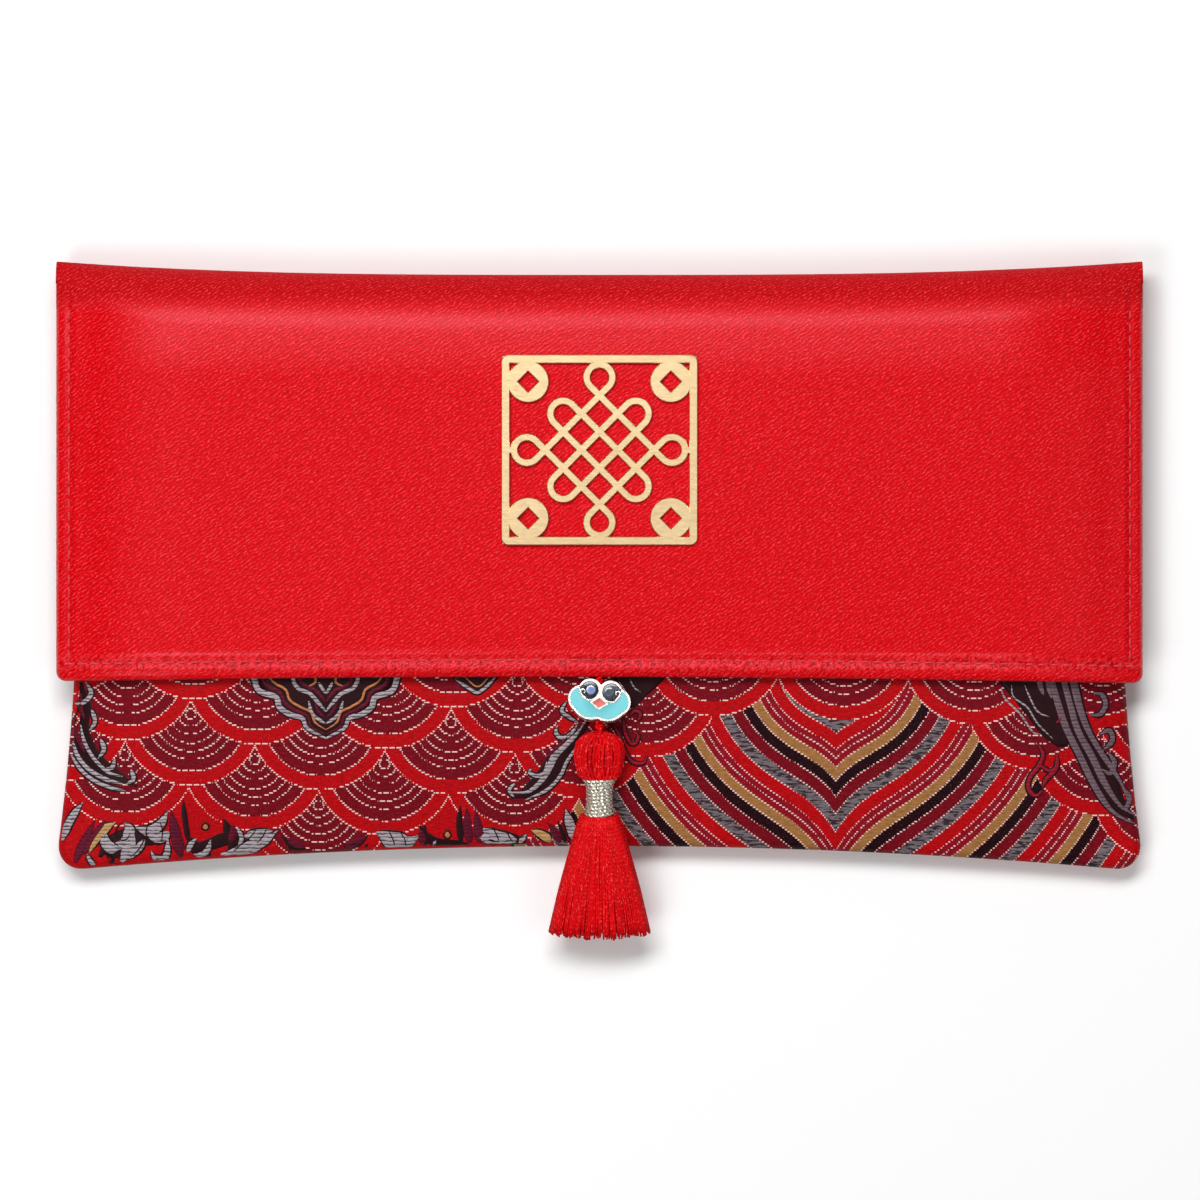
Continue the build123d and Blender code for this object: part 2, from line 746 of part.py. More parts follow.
nodes = {
    "back_panel": back_panel(back_face),
    "back_yoke": back_yoke(back_face),
    "back_stiffener": back_ply(back_face, back_board_foot, back_board, board_margin),
    "back_lining": back_ply(back_face, back_lining_foot, lining, lining_margin),
    "front_panel": front_panel(front_face),
    "front_stiffener": front_stiffener(front_face),
    "front_lining": front_lining(front_face),
    "mouth_hem": mouth_hem(front_face),
    "seam_allowance": seam_allowance(),
    "pouch_magnet": magnet(front_magnet_foot, front_board),
    "flap_fold": flap_fold(),
    "fold_lining": fold_lining(),
    "flap_cover": flap_cover(),
    "flap_hem": flap_hem(),
    "flap_stiffener": flap_stiffener(),
    "flap_lining": flap_lining(),
    "flap_topstitch": flap_topstitch(),
    "flap_magnet": magnet(flap_board_foot, flap_board),
    "plaque": plaque(),
    "plaque_glue": plaque_glue(),
    "hanging_cord": hanging_cord(),
    "charm_body": charm_body(),
    "charm_turquoise_enamel": enamel(crescent_field(-enamel_gap)),
    "charm_blue_enamel": enamel(eye_field(-enamel_gap)),
    "charm_coral_enamel": enamel(coral_field(-enamel_gap)),
    "bead_knot": bead_knot(),
    "tassel_cord": tassel_cord(),
    "tassel_head": tassel_head(),
    "tassel_neck": tassel_neck(),
    "tassel_wrap": tassel_wrap(),
    "tassel_skirt": tassel_skirt(),
}

os.makedirs("parts", exist_ok=True)
for name, solid in nodes.items():
    export_step(solid, os.path.join("parts", name + ".step"))
print("knot height", round(knot_height, 3), "flap height", round(flap_height, 3))
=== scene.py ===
import bpy
import bmesh
import math
import random
import numpy as np
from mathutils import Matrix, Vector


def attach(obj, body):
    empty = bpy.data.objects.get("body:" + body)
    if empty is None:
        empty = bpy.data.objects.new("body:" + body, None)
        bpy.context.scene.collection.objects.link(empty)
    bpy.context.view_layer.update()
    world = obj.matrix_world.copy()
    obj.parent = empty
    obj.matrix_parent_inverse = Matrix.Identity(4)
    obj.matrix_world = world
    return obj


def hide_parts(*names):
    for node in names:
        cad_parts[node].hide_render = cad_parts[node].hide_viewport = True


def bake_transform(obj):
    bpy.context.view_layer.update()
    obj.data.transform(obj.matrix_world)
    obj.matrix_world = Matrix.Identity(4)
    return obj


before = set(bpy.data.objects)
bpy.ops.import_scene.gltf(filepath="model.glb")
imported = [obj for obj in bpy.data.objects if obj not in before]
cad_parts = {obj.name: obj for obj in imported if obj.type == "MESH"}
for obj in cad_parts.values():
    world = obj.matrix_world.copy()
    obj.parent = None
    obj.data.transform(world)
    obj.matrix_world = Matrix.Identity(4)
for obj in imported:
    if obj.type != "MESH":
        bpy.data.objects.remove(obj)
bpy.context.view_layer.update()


# Brocade of the pouch: two layers of woven cloth, 0.5 mm thick, padded by board and sewn together at the
# sides and the foot. The cloth is drawn in mm as curved sheets over the CAD outline and rides the pouch.
MM, WELD, CREASE = 0.001, 1e-7, 0.8
MOUTH, POUCH_HALF, POUCH_CORNER, SEAM_ROUND, BROCADE_THICK = 38.0, 94.0, 5.2, 1.5, 0.5
SIDE_HALF, SIDE_PULL, SIDE_REACH = 94.6, 3.07, 48
FOOT_Y, FOOT_DIP, FOOT_REACH = -50.1, 3.8, 88
FRONT_SEAM, SEAM_STEP, FRONT_CROWN, BACK_CROWN = 4.6, 1.3, 5.5, 3.3
FRONT_SWELL, BACK_SWELL, EDGE_CROWD = (22, 34), (18, 18), 1.5


def rise(t):
    """A padded swelling: steep at the edge, level from 1 on."""
    t = np.minimum(t, 1)
    return np.where(t < 0, 2 * t, 1 - (1 - t) ** 2)


def edge_round(t):
    """A quarter round, from 0 at the edge to 1."""
    return np.sqrt(1 - (1 - np.clip(t, 0, 1)) ** 2)


def side_line(y):
    return SIDE_HALF - SIDE_PULL * (1 - (y / SIDE_REACH) ** 2)


def foot_line(x):
    return FOOT_Y - FOOT_DIP * (x / FOOT_REACH) ** 2


def pouch_grid(columns, rows, top, inset, corner):
    """Places across a pouch layer, from the foot to the mouth, with rounded corners at the foot."""
    t = np.linspace(-1, 1, columns)
    u = np.sign(t) * (1 - (1 - np.abs(t)) ** EDGE_CROWD)
    v = np.linspace(0, 1, rows)[:, None] ** EDGE_CROWD
    x = u[None, :] * (POUCH_HALF - inset) + 0 * v
    for _ in range(3):
        foot = foot_line(x) + inset
        y = foot + (top - foot) * v
        cut = np.clip(corner - (y - foot), 0, corner)
        half = side_line(y) - inset - (corner - np.sqrt(corner ** 2 - cut ** 2))
        x = u[None, :] * half
    return x, y


def corner_distance(across, up, corner):
    """How far a place is from the edge, round a corner where it is near one."""
    round_part = corner - np.hypot(np.maximum(corner - across, 0), np.maximum(corner - up, 0))
    return np.where((across < corner) & (up < corner), round_part, np.minimum(across, up))


def edge_distance(x, y):
    return corner_distance(side_line(y) - np.abs(x), y - foot_line(x), POUCH_CORNER)


def swelling(x, y, reach):
    return rise((side_line(y) - np.abs(x)) / reach[0]) * rise((y - foot_line(x)) / reach[1])


def front_top(x, y):
    seam = SEAM_STEP * edge_round(edge_distance(x, y) / SEAM_ROUND)
    return FRONT_SEAM + seam + FRONT_CROWN * np.maximum(swelling(x, y, FRONT_SWELL), 0)


def back_foot(x, y):
    seam = SEAM_STEP * (1 - edge_round(edge_distance(x, y) / SEAM_ROUND))
    return BACK_CROWN * (1 - np.clip(swelling(x, y, BACK_SWELL), 0, 1)) + seam


def make_piece(name, points, faces, lay=None, tone=None, crisp=False):
    """A mesh in the shared frame from points in millimetres; lay is where each point lies on the flat cloth."""
    mesh = bpy.data.meshes.new(name)
    mesh.from_pydata((np.asarray(points) * MM).tolist(), [], faces)
    for label, kind, key, values in (("lay", "FLOAT_VECTOR", "vector", lay), ("tone", "FLOAT", "value", tone)):
        if values is not None:
            layer = mesh.attributes.new(label, kind, "POINT")
            layer.data.foreach_set(key, np.asarray(values, np.float32).ravel())
    work = bmesh.new()
    work.from_mesh(mesh)
    bmesh.ops.remove_doubles(work, verts=work.verts, dist=2 * WELD)
    bmesh.ops.dissolve_degenerate(work, edges=work.edges, dist=WELD)
    bmesh.ops.recalc_face_normals(work, faces=work.faces)
    for face in work.faces:
        face.smooth = True
    for line in work.edges:
        line.smooth = not (crisp and line.calc_face_angle(0.0) > CREASE)
    work.to_mesh(mesh)
    work.free()
    piece = bpy.data.objects.new(name, mesh)
    bpy.context.scene.collection.objects.link(piece)
    return piece


def grid(x, y, z):
    return np.stack(np.broadcast_arrays(x, y, z), -1)


def sheet_faces(rows, columns, start=0):
    """Faces of a closed sheet whose points are one grid after another."""
    count = rows * columns
    index = start + np.arange(count).reshape(rows, columns)
    quads = np.stack([index[:-1, :-1], index[:-1, 1:], index[1:, 1:], index[1:, :-1]], -1).reshape(-1, 4)
    rim = np.concatenate([index[0], index[1:, -1], index[-1, -2::-1], index[-2:0:-1, 0]])
    after = np.roll(rim, -1)
    edge = np.stack([after, rim, rim + count, after + count], -1)
    return np.concatenate([quads, quads[:, ::-1] + count, edge]).tolist()


def sheet_piece(name, outer, inner, lay):
    """A closed sheet between two grids of points."""
    points = np.concatenate([outer.reshape(-1, 3), inner.reshape(-1, 3)])
    flat = np.concatenate([lay.reshape(-1, 3)] * 2)
    return make_piece(name, points, sheet_faces(*outer.shape[:2]), flat, crisp=True)


def fit(piece, made, body, slot, *nodes):
    """Dresses a piece, hangs it on the body it rides on and hides the CAD nodes it stands for."""
    piece.data.materials.append(made)
    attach(piece, body)
    if nodes:
        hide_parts(*nodes)


class Field:
    """A value or colour over a surface; each sum or product made from it is one shader node."""

    def __init__(self, tree, socket):
        self.tree, self.socket = tree, socket

    def op(self, operation, *others):
        return wire(self.tree, "Math", self, *others, operation=operation)

    def __add__(self, other):
        return self.op("ADD", other)

    def __sub__(self, other):
        return self.op("SUBTRACT", other)

    def __rsub__(self, other):
        return wire(self.tree, "Math", other, self, operation="SUBTRACT")

    def __mul__(self, other):
        return self.op("MULTIPLY", other)

    def __truediv__(self, other):
        return self.op("DIVIDE", other)


def plug(tree, socket, value):
    """Feeds a socket with a field, or sets it to a number or a colour."""
    if isinstance(value, Field):
        tree.links.new(value.socket, socket)
    elif value is not None:
        socket.default_value = value


def wire(tree, kind, *values, out=0, **settings):
    """One shader node; each value is a number, a colour or the field that feeds it."""
    node = tree.nodes.new("ShaderNode" + kind)
    for key, value in settings.items():
        setattr(node, key, value)
    for socket, value in zip(node.inputs, values):
        plug(tree, socket, value)
    return Field(tree, node.outputs[out])


def times(first, second):
    return wire(first.tree, "VectorMath", first, second, operation="MULTIPLY")


def noise(place, size, detail):
    """Cloudy noise; size is its scale, or how much each axis is packed."""
    if np.ndim(size):
        place, size = times(place, size), 1.0
    return wire(place.tree, "TexNoise", place, None, size, detail)


def mixed(share, first, second):
    """The first colour where the share is 0, the second where it is 1."""
    node = share.tree.nodes.new("ShaderNodeMix")
    node.data_type = "RGBA"
    for socket, value in zip((node.inputs[0], node.inputs[6], node.inputs[7]), (share, first, second)):
        plug(share.tree, socket, value)
    return Field(share.tree, node.outputs[2])


def ramp(value, stops, smooth=False):
    """Numbers or colours along a value, in steps or blended."""
    node = value.tree.nodes.new("ShaderNodeValToRGB")
    node.color_ramp.interpolation = "LINEAR" if smooth else "CONSTANT"
    while len(node.color_ramp.elements) < len(stops):
        node.color_ramp.elements.new(1)
    for element, (place, colour) in zip(node.color_ramp.elements, stops):
        element.position = place
        element.color = colour if np.ndim(colour) else (colour, colour, colour, 1)
    plug(value.tree, node.inputs[0], value)
    return Field(value.tree, node.outputs[0])


def group(name):
    """A node group that puts out a colour, a height for the bump and a roughness."""
    tree = bpy.data.node_groups.new(name, "ShaderNodeTree")
    for label, kind in (("Colour", "NodeSocketColor"), ("Height", "NodeSocketFloat"), ("Gloss", "NodeSocketFloat")):
        tree.interface.new_socket(label, in_out="OUTPUT", socket_type=kind)
    tree.nodes.new("NodeGroupOutput")
    return tree


def give(**values):
    for label, field in values.items():
        end = next(n for n in field.tree.nodes if n.bl_idname == "NodeGroupOutput")
        plug(field.tree, end.inputs[label], field)


def lay_of(tree):
    """Where a point lies on the flat cloth, in mm, and its two directions alone."""
    lay = wire(tree, "Attribute", attribute_name="lay", out=1)
    return lay, axis_of(lay, 0), axis_of(lay, 1)


def axis_of(place, axis):
    return wire(place.tree, "SeparateXYZ", place, out=axis)


def waves(place, pitch):
    return place * (2 * math.pi / pitch)


WEFT, WARP, DASH_PITCH, DASH_SHIFT, DASH_SHARE, THREAD_HALF = 0.36, 0.3, 1.25, 0.37, 0.76, 0.115
bright, dark, pale = (0.47, 0.001, 0.004, 1), (0.18, 0.002, 0.009, 1), (0.86, 0.55, 0.50, 1)
mid_red, black = (0.27, 0.004, 0.014, 1), (0.014, 0.002, 0.004, 1)
gold, silver = (0.36, 0.16, 0.05, 1), (0.18, 0.145, 0.16, 1)
woven = group("brocade figure")
lay, across, along = lay_of(woven)
row_number = (along / WEFT).op("ROUND")
row_place = row_number * WEFT
off_row = (along - row_place).op("ABSOLUTE")
# The scales stand in half-offset rows that fall a little to the right.
pitch, row_step, scale_radius, fall = 22.7, 7.6, 12.6, math.radians(1.9)
scale_x, scale_y, fan_column, fan_row = -71.28, -26.87, 5, 2.0
lone_above, plain_below, plain_left_of = -2.5, -1.5, 8.0
x_off, y_off = across - scale_x, row_place - scale_y
u = x_off * math.cos(fall) - y_off * math.sin(fall)
v = x_off * math.sin(fall) + y_off * math.cos(fall)
top_row = ((v + scale_radius) / row_step).op("FLOOR")


def scale_in_row(number):
    """How far the nearest scale's middle is in a row, whether a scale is woven there, and whether it is plain."""
    shift = number.op("FLOORED_MODULO", 2.0) * (pitch / 2)
    middle = ((u - shift) / pitch).op("ROUND") * pitch + shift
    du, dv = u - middle, v - number * row_step
    fan = (middle - fan_column * pitch).op("ABSOLUTE")
    below = fan_row - number
    outside = fan.op("GREATER_THAN", below * (pitch / 2) + pitch / 4)
    there = outside.op("MAXIMUM", below.op("LESS_THAN", 0.5))
    lone = number.op("GREATER_THAN", lone_above) * middle.op("COMPARE", pitch, pitch / 4)
    low = number.op("LESS_THAN", plain_below) * across.op("LESS_THAN", plain_left_of)
    return (du * du + dv * dv).op("SQRT"), there, low * (1.0 - lone)


away_a, there_a, plain_a = scale_in_row(top_row)
away_b, there_b, plain_b = scale_in_row(top_row - 1.0)
in_a = there_a * away_a.op("LESS_THAN", scale_radius)
in_scale = in_a.op("MAXIMUM", there_b)
plain = in_a * plain_a + (1.0 - in_a) * plain_b
part = (in_a * away_a + (1.0 - in_a) * away_b) / scale_radius
scale_ground = mixed(plain, ramp(part, [(0, dark), (0.80, bright)]), bright)
ring_stops, ring_half, ring_share = [(0, 0)], 0.011, 72
for ring in (5, 12, 20, 29, 37, 45, 57):
    ring_stops += [(ring / ring_share - ring_half, 1), (ring / ring_share + ring_half, 0)]
scale_thread = ramp(part, ring_stops + [(0.978, 1)]) * (1.0 - plain)
# Right of the tassel the scales give way to a fan of standing-water stripes round one scale.
fan_mid_x, fan_mid_y, stripe_from, stripe_pitch, cusp_spread = 41.27, -17.97, 14.6, 12.0, -0.19
fan_x, fan_y = across - fan_mid_x, fan_mid_y - row_place
reach = (fan_x * fan_x + fan_y * fan_y).op("SQRT")
bearing = fan_x.op("ARCTAN2", fan_y).op("ABSOLUTE")
cusp = (bearing / cusp_spread).op("EXPONENT") * (reach * 0.0075 + 0.105) + 1.0
stripe = ((reach / cusp - stripe_from) / stripe_pitch).op("FRACT")
stripe_ground = ramp(stripe, [(0, gold), (0.15, black), (0.30, dark), (0.47, silver), (0.64, bright),
                              (0.82, mid_red)])
stripe_stops = []
for first, last in ((0, 0.018), (0.135, 0.155), (0.29, 0.31), (0.462, 0.478), (0.632, 0.648), (0.81, 0.828),
                    (0.90, 0.918)):
    stripe_stops += [(first, 1), (last, 0)]
broken = noise(lay, (0.55, 2.6, 1), 2.0)
in_silver = ramp(stripe, [(0, 0), (0.48, 1), (0.63, 0)])
hatched = in_silver * ramp(broken, [(0.50, 0), (0.53, 0.85)], True)
ground = mixed(in_scale, mixed(hatched, stripe_ground, black), scale_ground)
dash = (across / DASH_PITCH + row_number * DASH_SHIFT).op("FRACT").op("LESS_THAN", DASH_SHARE)
on_row = off_row.op("LESS_THAN", THREAD_HALF)
thread = mixed(in_scale, ramp(stripe, stripe_stops), scale_thread) * (dash * on_row)
slub, grain = noise(lay, (0.9, 3.2, 1), 3.0), noise(lay, 3.4, 2.0)
ground = times(ground, ramp(slub, [(0.3, 0.62), (0.7, 1.12)], True))
ground = mixed(ramp(grain, [(0.60, 0), (0.74, 0.09)], True), ground, (0.9, 0.32, 0.30, 1))
weave = waves(across, WARP).op("SINE") * waves(along, WEFT).op("COSINE")
give(Colour=mixed(thread, ground, pale), Height=weave * 0.25 + thread * 1.2, Gloss=0.56 - thread * 0.2)


def plain_material(name, colour, roughness, metallic=0.0, **settings):
    made = bpy.data.materials.new(name)
    made.use_nodes = True
    shader = made.node_tree.nodes["Principled BSDF"]
    settings.update(Base_Color=colour, Roughness=roughness, Metallic=metallic)
    for label, value in settings.items():
        shader.inputs[label.replace("_", " ")].default_value = value
    return made


def feed(made, colour=None, roughness=None, height=None, strength=None, distance=None, width=1.0):
    """Leads fields to a material's colour, roughness and bump."""
    tree = made.node_tree
    shader = tree.nodes["Principled BSDF"]
    plug(tree, shader.inputs["Base Color"], colour)
    plug(tree, shader.inputs["Roughness"], roughness)
    if height is not None:
        plug(tree, shader.inputs["Normal"], wire(tree, "Bump", strength, distance, width, height))


def use_group(made, node_group, strength, distance):
    """Feeds a material from a node group."""
    box = made.node_tree.nodes.new("ShaderNodeGroup")
    box.node_tree = node_group
    colour, gloss, height = (Field(made.node_tree, box.outputs[label]) for label in ("Colour", "Gloss", "Height"))
    feed(made, colour, gloss, height, strength, distance, width=None)


brocade = plain_material("brocade", (0.4, 0.01, 0.02, 1), 0.5, Specular_IOR_Level=0.06)
use_group(brocade, woven, strength=0.6, distance=0.00006)
x, y = pouch_grid(columns=181, rows=91, top=MOUTH, inset=0, corner=POUCH_CORNER)
thin = BROCADE_THICK * edge_round(edge_distance(x, y) / SEAM_ROUND)
z = front_top(x, y)
front = sheet_piece("front_brocade", grid(x, y, z), grid(x, y, z - thin), grid(x, y, 0))
fit(front, brocade, "pouch", "brocade", "front_panel", "seam_allowance")
z = back_foot(x, y)
back = sheet_piece("back_brocade", grid(x, y, z), grid(x, y, z + thin), grid(-x, y, 0))
fit(back, brocade, "pouch", "brocade", "back_panel")

# Woven figures of the brocade: curling waves, a cloud medallion and horns in silver, gold, red and black floats
# that stand a little proud of the ground. Each colour is one piece and rides the pouch. A stroke below is its
# width, or its widths from end to end, and then x and y of each point, in mm.
figures = {
    "silver": [
        (1.3, -47.7, -2.5, -51.0, -4.3, -51.8, -6.0, -54.0, -6.7, -55.8, -8.0, -56.4, -9.7, -59.3, -10.8,
         -60.3, -13.3, -61.3, -16.8, -60.3, -20.3, -59.3, -22.8, -56.4, -23.9, -55.8, -25.6, -54.0, -26.9,
         -51.8, -27.6, -51.0, -29.3, -47.7, -31.1),
        (1.3, -47.7, -2.5, -44.5, -4.3, -43.7, -6.0, -41.5, -6.7, -39.7, -8.0, -39.1, -9.7, -36.2, -10.8,
         -35.2, -13.3, -34.2, -16.8, -35.2, -20.3, -36.2, -22.8, -39.1, -23.9, -39.7, -25.6, -41.5, -26.9,
         -43.7, -27.6, -44.5, -29.3, -47.7, -31.1),
        (0.85, -53.3, -19.0, -53.4, -20.8, -52.5, -22.4, -50.5, -23.3, -49.0, -24.9, -47.7, -26.4),
        (0.85, -42.2, -19.0, -42.1, -20.8, -43.0, -22.4, -45.0, -23.3, -46.5, -24.9, -47.7, -26.4),
        (0.85, -47.7, -7.2, -49.0, -8.7, -50.5, -10.3, -52.5, -11.2, -53.4, -12.8, -53.3, -14.5),
        (0.85, -47.7, -7.2, -46.5, -8.7, -45.0, -10.3, -43.0, -11.2, -42.1, -12.8, -42.2, -14.5),
        (0.7, -50.7, -24.6, -50.0, -26.9, -47.7, -28.6),
        (0.7, -44.7, -24.6, -45.5, -26.9, -47.7, -28.6),
        (0.7, -47.7, -5.0, -50.0, -6.7, -50.7, -9.0),
        (0.7, -47.7, -5.0, -45.5, -6.7, -44.7, -9.0),
        (0.6, -49.0, -21.3, -48.2, -22.6, -47.7, -23.3),
        (0.6, -46.5, -21.3, -47.2, -22.6, -47.7, -23.3),
        (0.6, -47.7, -10.3, -48.2, -11.0, -49.0, -12.3),
        (0.6, -47.7, -10.3, -47.2, -11.0, -46.5, -12.3),
        (0.9, -92.4, -31.3, -91.3, -34.3, -89.3, -36.6, -86.3, -38.3, -83.3, -39.1),
        (0.75, -92.7, -33.8, -90.8, -36.6, -88.3, -38.6, -85.3, -39.8, -82.8, -40.3),
        (0.75, -90.8, -28.8, -90.1, -31.8, -88.3, -34.8, -85.8, -37.1, -83.3, -37.8),
        ((0.5, 1.0, 1.0, 0.7), -92.3, -25.1, -90.3, -24.9, -88.9, -23.3, -89.9, -21.3),
        ((0.9, 0.9, 0.4), -88.8, -26.1, -88.2, -28.3, -89.3, -29.9),
        ((1.1, 1.0, 0.4), -87.2, -31.3, -86.6, -33.1, -87.7, -34.7),
        ((0.9, 0.9, 0.4), -84.7, -34.8, -85.2, -36.3, -86.7, -36.5),
        ((1.0, 1.0, 0.4), -81.8, -36.6, -81.4, -38.3, -82.7, -39.1),
        ((1.5, 1.8, 1.6, 0.5), -94.1, -49.1, -93.2, -46.6, -91.8, -44.2, -90.4, -42.4),
        ((0.5, 1.3, 1.3, 0.6), -86.9, -47.6, -86.8, -49.6, -85.4, -50.9, -83.7, -49.9),
        ((0.6, 1.2, 1.3, 0.7), -89.7, -51.5, -88.8, -53.1, -86.6, -53.8, -83.8, -53.1),
        ((1.5, 3.01, 3.11, 2.0), -82.7, -46.2, -82.3, -48.6, -82.4, -50.6, -83.7, -52.8),
        ((0.4, 2.0, 2.7, 1.0), -75.4, -43.8, -76.7, -46.1, -78.7, -47.4, -81.1, -46.8),
        ((0.8, 1.5, 1.5, 0.7), -75.5, -48.8, -75.8, -51.6, -77.4, -53.0, -78.5, -50.9),
        ((0.4, 1.2, 1.2), -70.5, -48.7, -71.5, -49.7, -72.1, -51.1),
        ((0.3, 1.2, 1.4, 0.7), -68.0, -48.9, -68.7, -50.9, -70.0, -51.7, -71.0, -51.5),
        ((0.25, 2.0, 3.31, 2.5, 1.2), -56.2, -47.2, -58.3, -48.9, -60.9, -50.2, -63.7, -51.2, -66.3, -51.5),
        ((0.9, 0.9, 0.8), -63.3, -46.9, -62.6, -48.6, -63.2, -50.3),
        ((0.3, 2.5, 3.31, 1.5), -38.8, -48.1, -36.6, -49.7, -34.0, -49.6, -31.7, -48.3),
        ((0.3, 1.1, 1.2), -28.6, -49.0, -29.2, -50.1, -29.6, -51.4),
        ((0.3, 1.1, 1.3), -24.7, -49.1, -25.8, -50.7, -27.6, -51.2),
        ((0.53, 0.98, 1.14, 1.67, 1.51, 0.98, 0.83, 0.68), -2.7, -28.5, -4.2, -30.6, -6.1, -32.5, -7.8, -34.2,
         -8.7, -36.1, -10.2, -38.6, -12.5, -40.5, -15.3, -40.6),
        ((0.38, 0.61, 0.68, 0.68, 0.68, 0.53), -1.9, -29.9, -3.8, -32.5, -5.7, -35.2, -6.8, -37.6, -9.1, -40.1,
         -12.9, -41.9),
        ((0.38, 0.76, 0.76, 0.53), -5.7, -24.6, -6.6, -26.3, -5.4, -27.3, -3.8, -28.3),
        ((0.61, 0.91, 0.91, 0.68, 0.38), -7.3, -28.8, -7.6, -30.2, -6.4, -31.1, -4.9, -30.2, -3.8, -28.6),
        ((0.53, 0.91, 0.91, 0.76, 0.53), -9.2, -35.2, -9.5, -37.1, -10.9, -37.7, -12.3, -37.1, -11.8, -36.3),
        ((0.61, 0.76, 0.53), -14.8, -39.0, -15.8, -40.2, -14.9, -41.4),
        (0.26, 3.4, -21.2, 4.5, -23.0, 5.3, -24.9),
        (0.26, 5.3, -20.8, 6.1, -22.3, 7.2, -23.0),
        (0.64, -25.2, -20.8, -22.7, -22.4, -21.2, -23.1, -19.3, -21.7, -18.1, -20.4),
        ((2.27, 3.18, 2.8, 1.14), -21.1, -48.6, -18.9, -48.6, -16.7, -48.7, -14.8, -49.0),
        ((0.38, 1.14, 1.06), -12.8, -48.0, -13.6, -49.0, -14.4, -49.9),
        ((0.53, 2.12, 2.35, 2.12), -5.9, -43.6, -5.3, -45.8, -4.7, -47.6, -4.0, -49.7),
        ((1.2, 1.8, 2.0, 2.2, 1.2), -86.5, -47.7, -85.7, -49.9, -83.6, -49.7, -81.9, -47.1, -83.1, -46.0),
        ((2.0, 2.6, 2.0), -78.8, -48.4, -76.5, -48.5, -75.3, -47.5),
        ((1.4, 1.8, 1.0), -79.6, -48.9, -80.9, -50.7, -82.8, -52.3),
        ((0.8, 2.6, 2.0), -57.2, -47.3, -59.6, -48.0, -62.1, -48.3),
        ((1.0, 2.6, 2.8), -39.0, -47.6, -36.3, -48.5, -33.5, -48.8),
        ((1.8, 2.6, 2.4), -20.4, -47.1, -17.9, -48.3, -14.5, -49.1),
        (0.28, 69.9, -22.2, 70.8, -24.3, 73.4, -26.9, 75.5, -29.9, 76.9, -30.4),
        (0.28, 71.8, -21.8, 72.2, -23.9, 74.6, -25.7, 76.4, -28.5, 79.2, -31.3),
        (0.28, 74.1, -21.8, 75.0, -23.9, 76.4, -26.4, 78.5, -27.4),
        (0.55, 2.5, -19.4, 3.7, -16.0, 6.9, -12.9),
        (0.55, 11.5, -19.4, 10.3, -16.0, 7.1, -12.9),
        (0.45, 6.0, -17.6, 7.0, -18.6, 8.0, -17.6, 7.6, -16.4),
        (0.55, -26.0, -18.7, -24.4, -16.6, -21.9, -14.7),
        (0.55, -17.5, -18.7, -19.2, -16.6, -21.7, -14.7),
        (0.28, 71.4, -19.8, 71.0, -16.6, 72.4, -12.0, 75.4, -7.6),
        (0.28, 73.7, -19.8, 73.4, -16.6, 74.6, -12.4, 77.2, -9.0),
    ],
    "mauve": [
        ((0.4, 1.0, 1.5, 1.6, 1.6, 1.5, 1.5, 1.4, 1.1, 0.8), 76.7, -12.9, 77.7, -16.9, 78.8, -20.9, 80.1, -25.4,
         81.5, -29.4, 84.0, -34.4, 86.5, -39.4, 89.2, -43.4, 92.0, -45.4, 95.0, -46.5),
        ((0.4, 0.9, 1.3, 1.4, 1.5, 1.6, 1.6, 1.3, 0.9), 78.4, -10.9, 79.8, -16.4, 81.0, -20.9, 82.2, -25.4,
         83.6, -29.9, 86.1, -34.4, 88.4, -39.1, 91.1, -42.9, 94.0, -44.8),
        ((0.4, 1.2, 1.7, 1.8, 1.5, 1.2, 1.2, 1.0, 0.7), 80.4, -10.9, 81.7, -16.9, 82.8, -21.4, 83.9, -25.9,
         85.5, -30.0, 87.8, -33.8, 89.7, -36.5, 91.5, -39.4, 92.5, -42.2),
        ((0.8, 1.1, 1.1, 1.0, 0.6), 86.4, -23.2, 87.9, -23.6, 88.5, -25.4, 87.4, -27.0, 85.7, -27.1),
        ((0.7, 1.1, 1.1, 0.6), 87.5, -30.4, 89.2, -29.8, 89.7, -31.6, 88.0, -33.3),
        ((0.7, 1.1, 1.1, 0.6), 89.0, -33.7, 90.1, -35.4, 89.4, -37.3, 87.9, -36.6),
        ((0.6, 1.0, 1.0, 0.6), 91.7, -39.9, 92.8, -41.5, 92.1, -43.4, 90.7, -42.9),
        ((1.3, 1.2, 0.5), 76.5, -20.6, 76.9, -22.0, 77.5, -23.6),
        ((1.3, 1.2, 0.5), 78.2, -20.6, 78.4, -22.2, 78.9, -24.2),
    ],
    "orange": [
        (0.45, -58.3, -19.3, -56.8, -21.3, -54.7, -22.6, -54.0, -24.4, -52.0, -25.7, -50.3, -26.5, -49.6, -28.3,
         -47.7, -29.6),
        (0.45, -37.2, -19.3, -38.7, -21.3, -40.8, -22.6, -41.5, -24.4, -43.5, -25.7, -45.1, -26.5, -45.8, -28.3,
         -47.7, -29.6),
        (0.45, -47.7, -4.0, -49.6, -5.3, -50.3, -7.1, -52.0, -7.9, -54.0, -9.2, -54.7, -11.0, -56.8, -12.3,
         -58.3, -14.3),
        (0.45, -47.7, -4.0, -45.8, -5.3, -45.1, -7.1, -43.5, -7.9, -41.5, -9.2, -40.8, -11.0, -38.7, -12.3,
         -37.2, -14.3),
        (0.45, -50.7, -22.0, -49.5, -21.3, -49.8, -19.9, -51.2, -19.7),
        (0.45, -44.7, -22.0, -46.0, -21.3, -45.6, -19.9, -44.2, -19.7),
        (0.45, -51.2, -13.9, -49.8, -13.7, -49.5, -12.3, -50.7, -11.5),
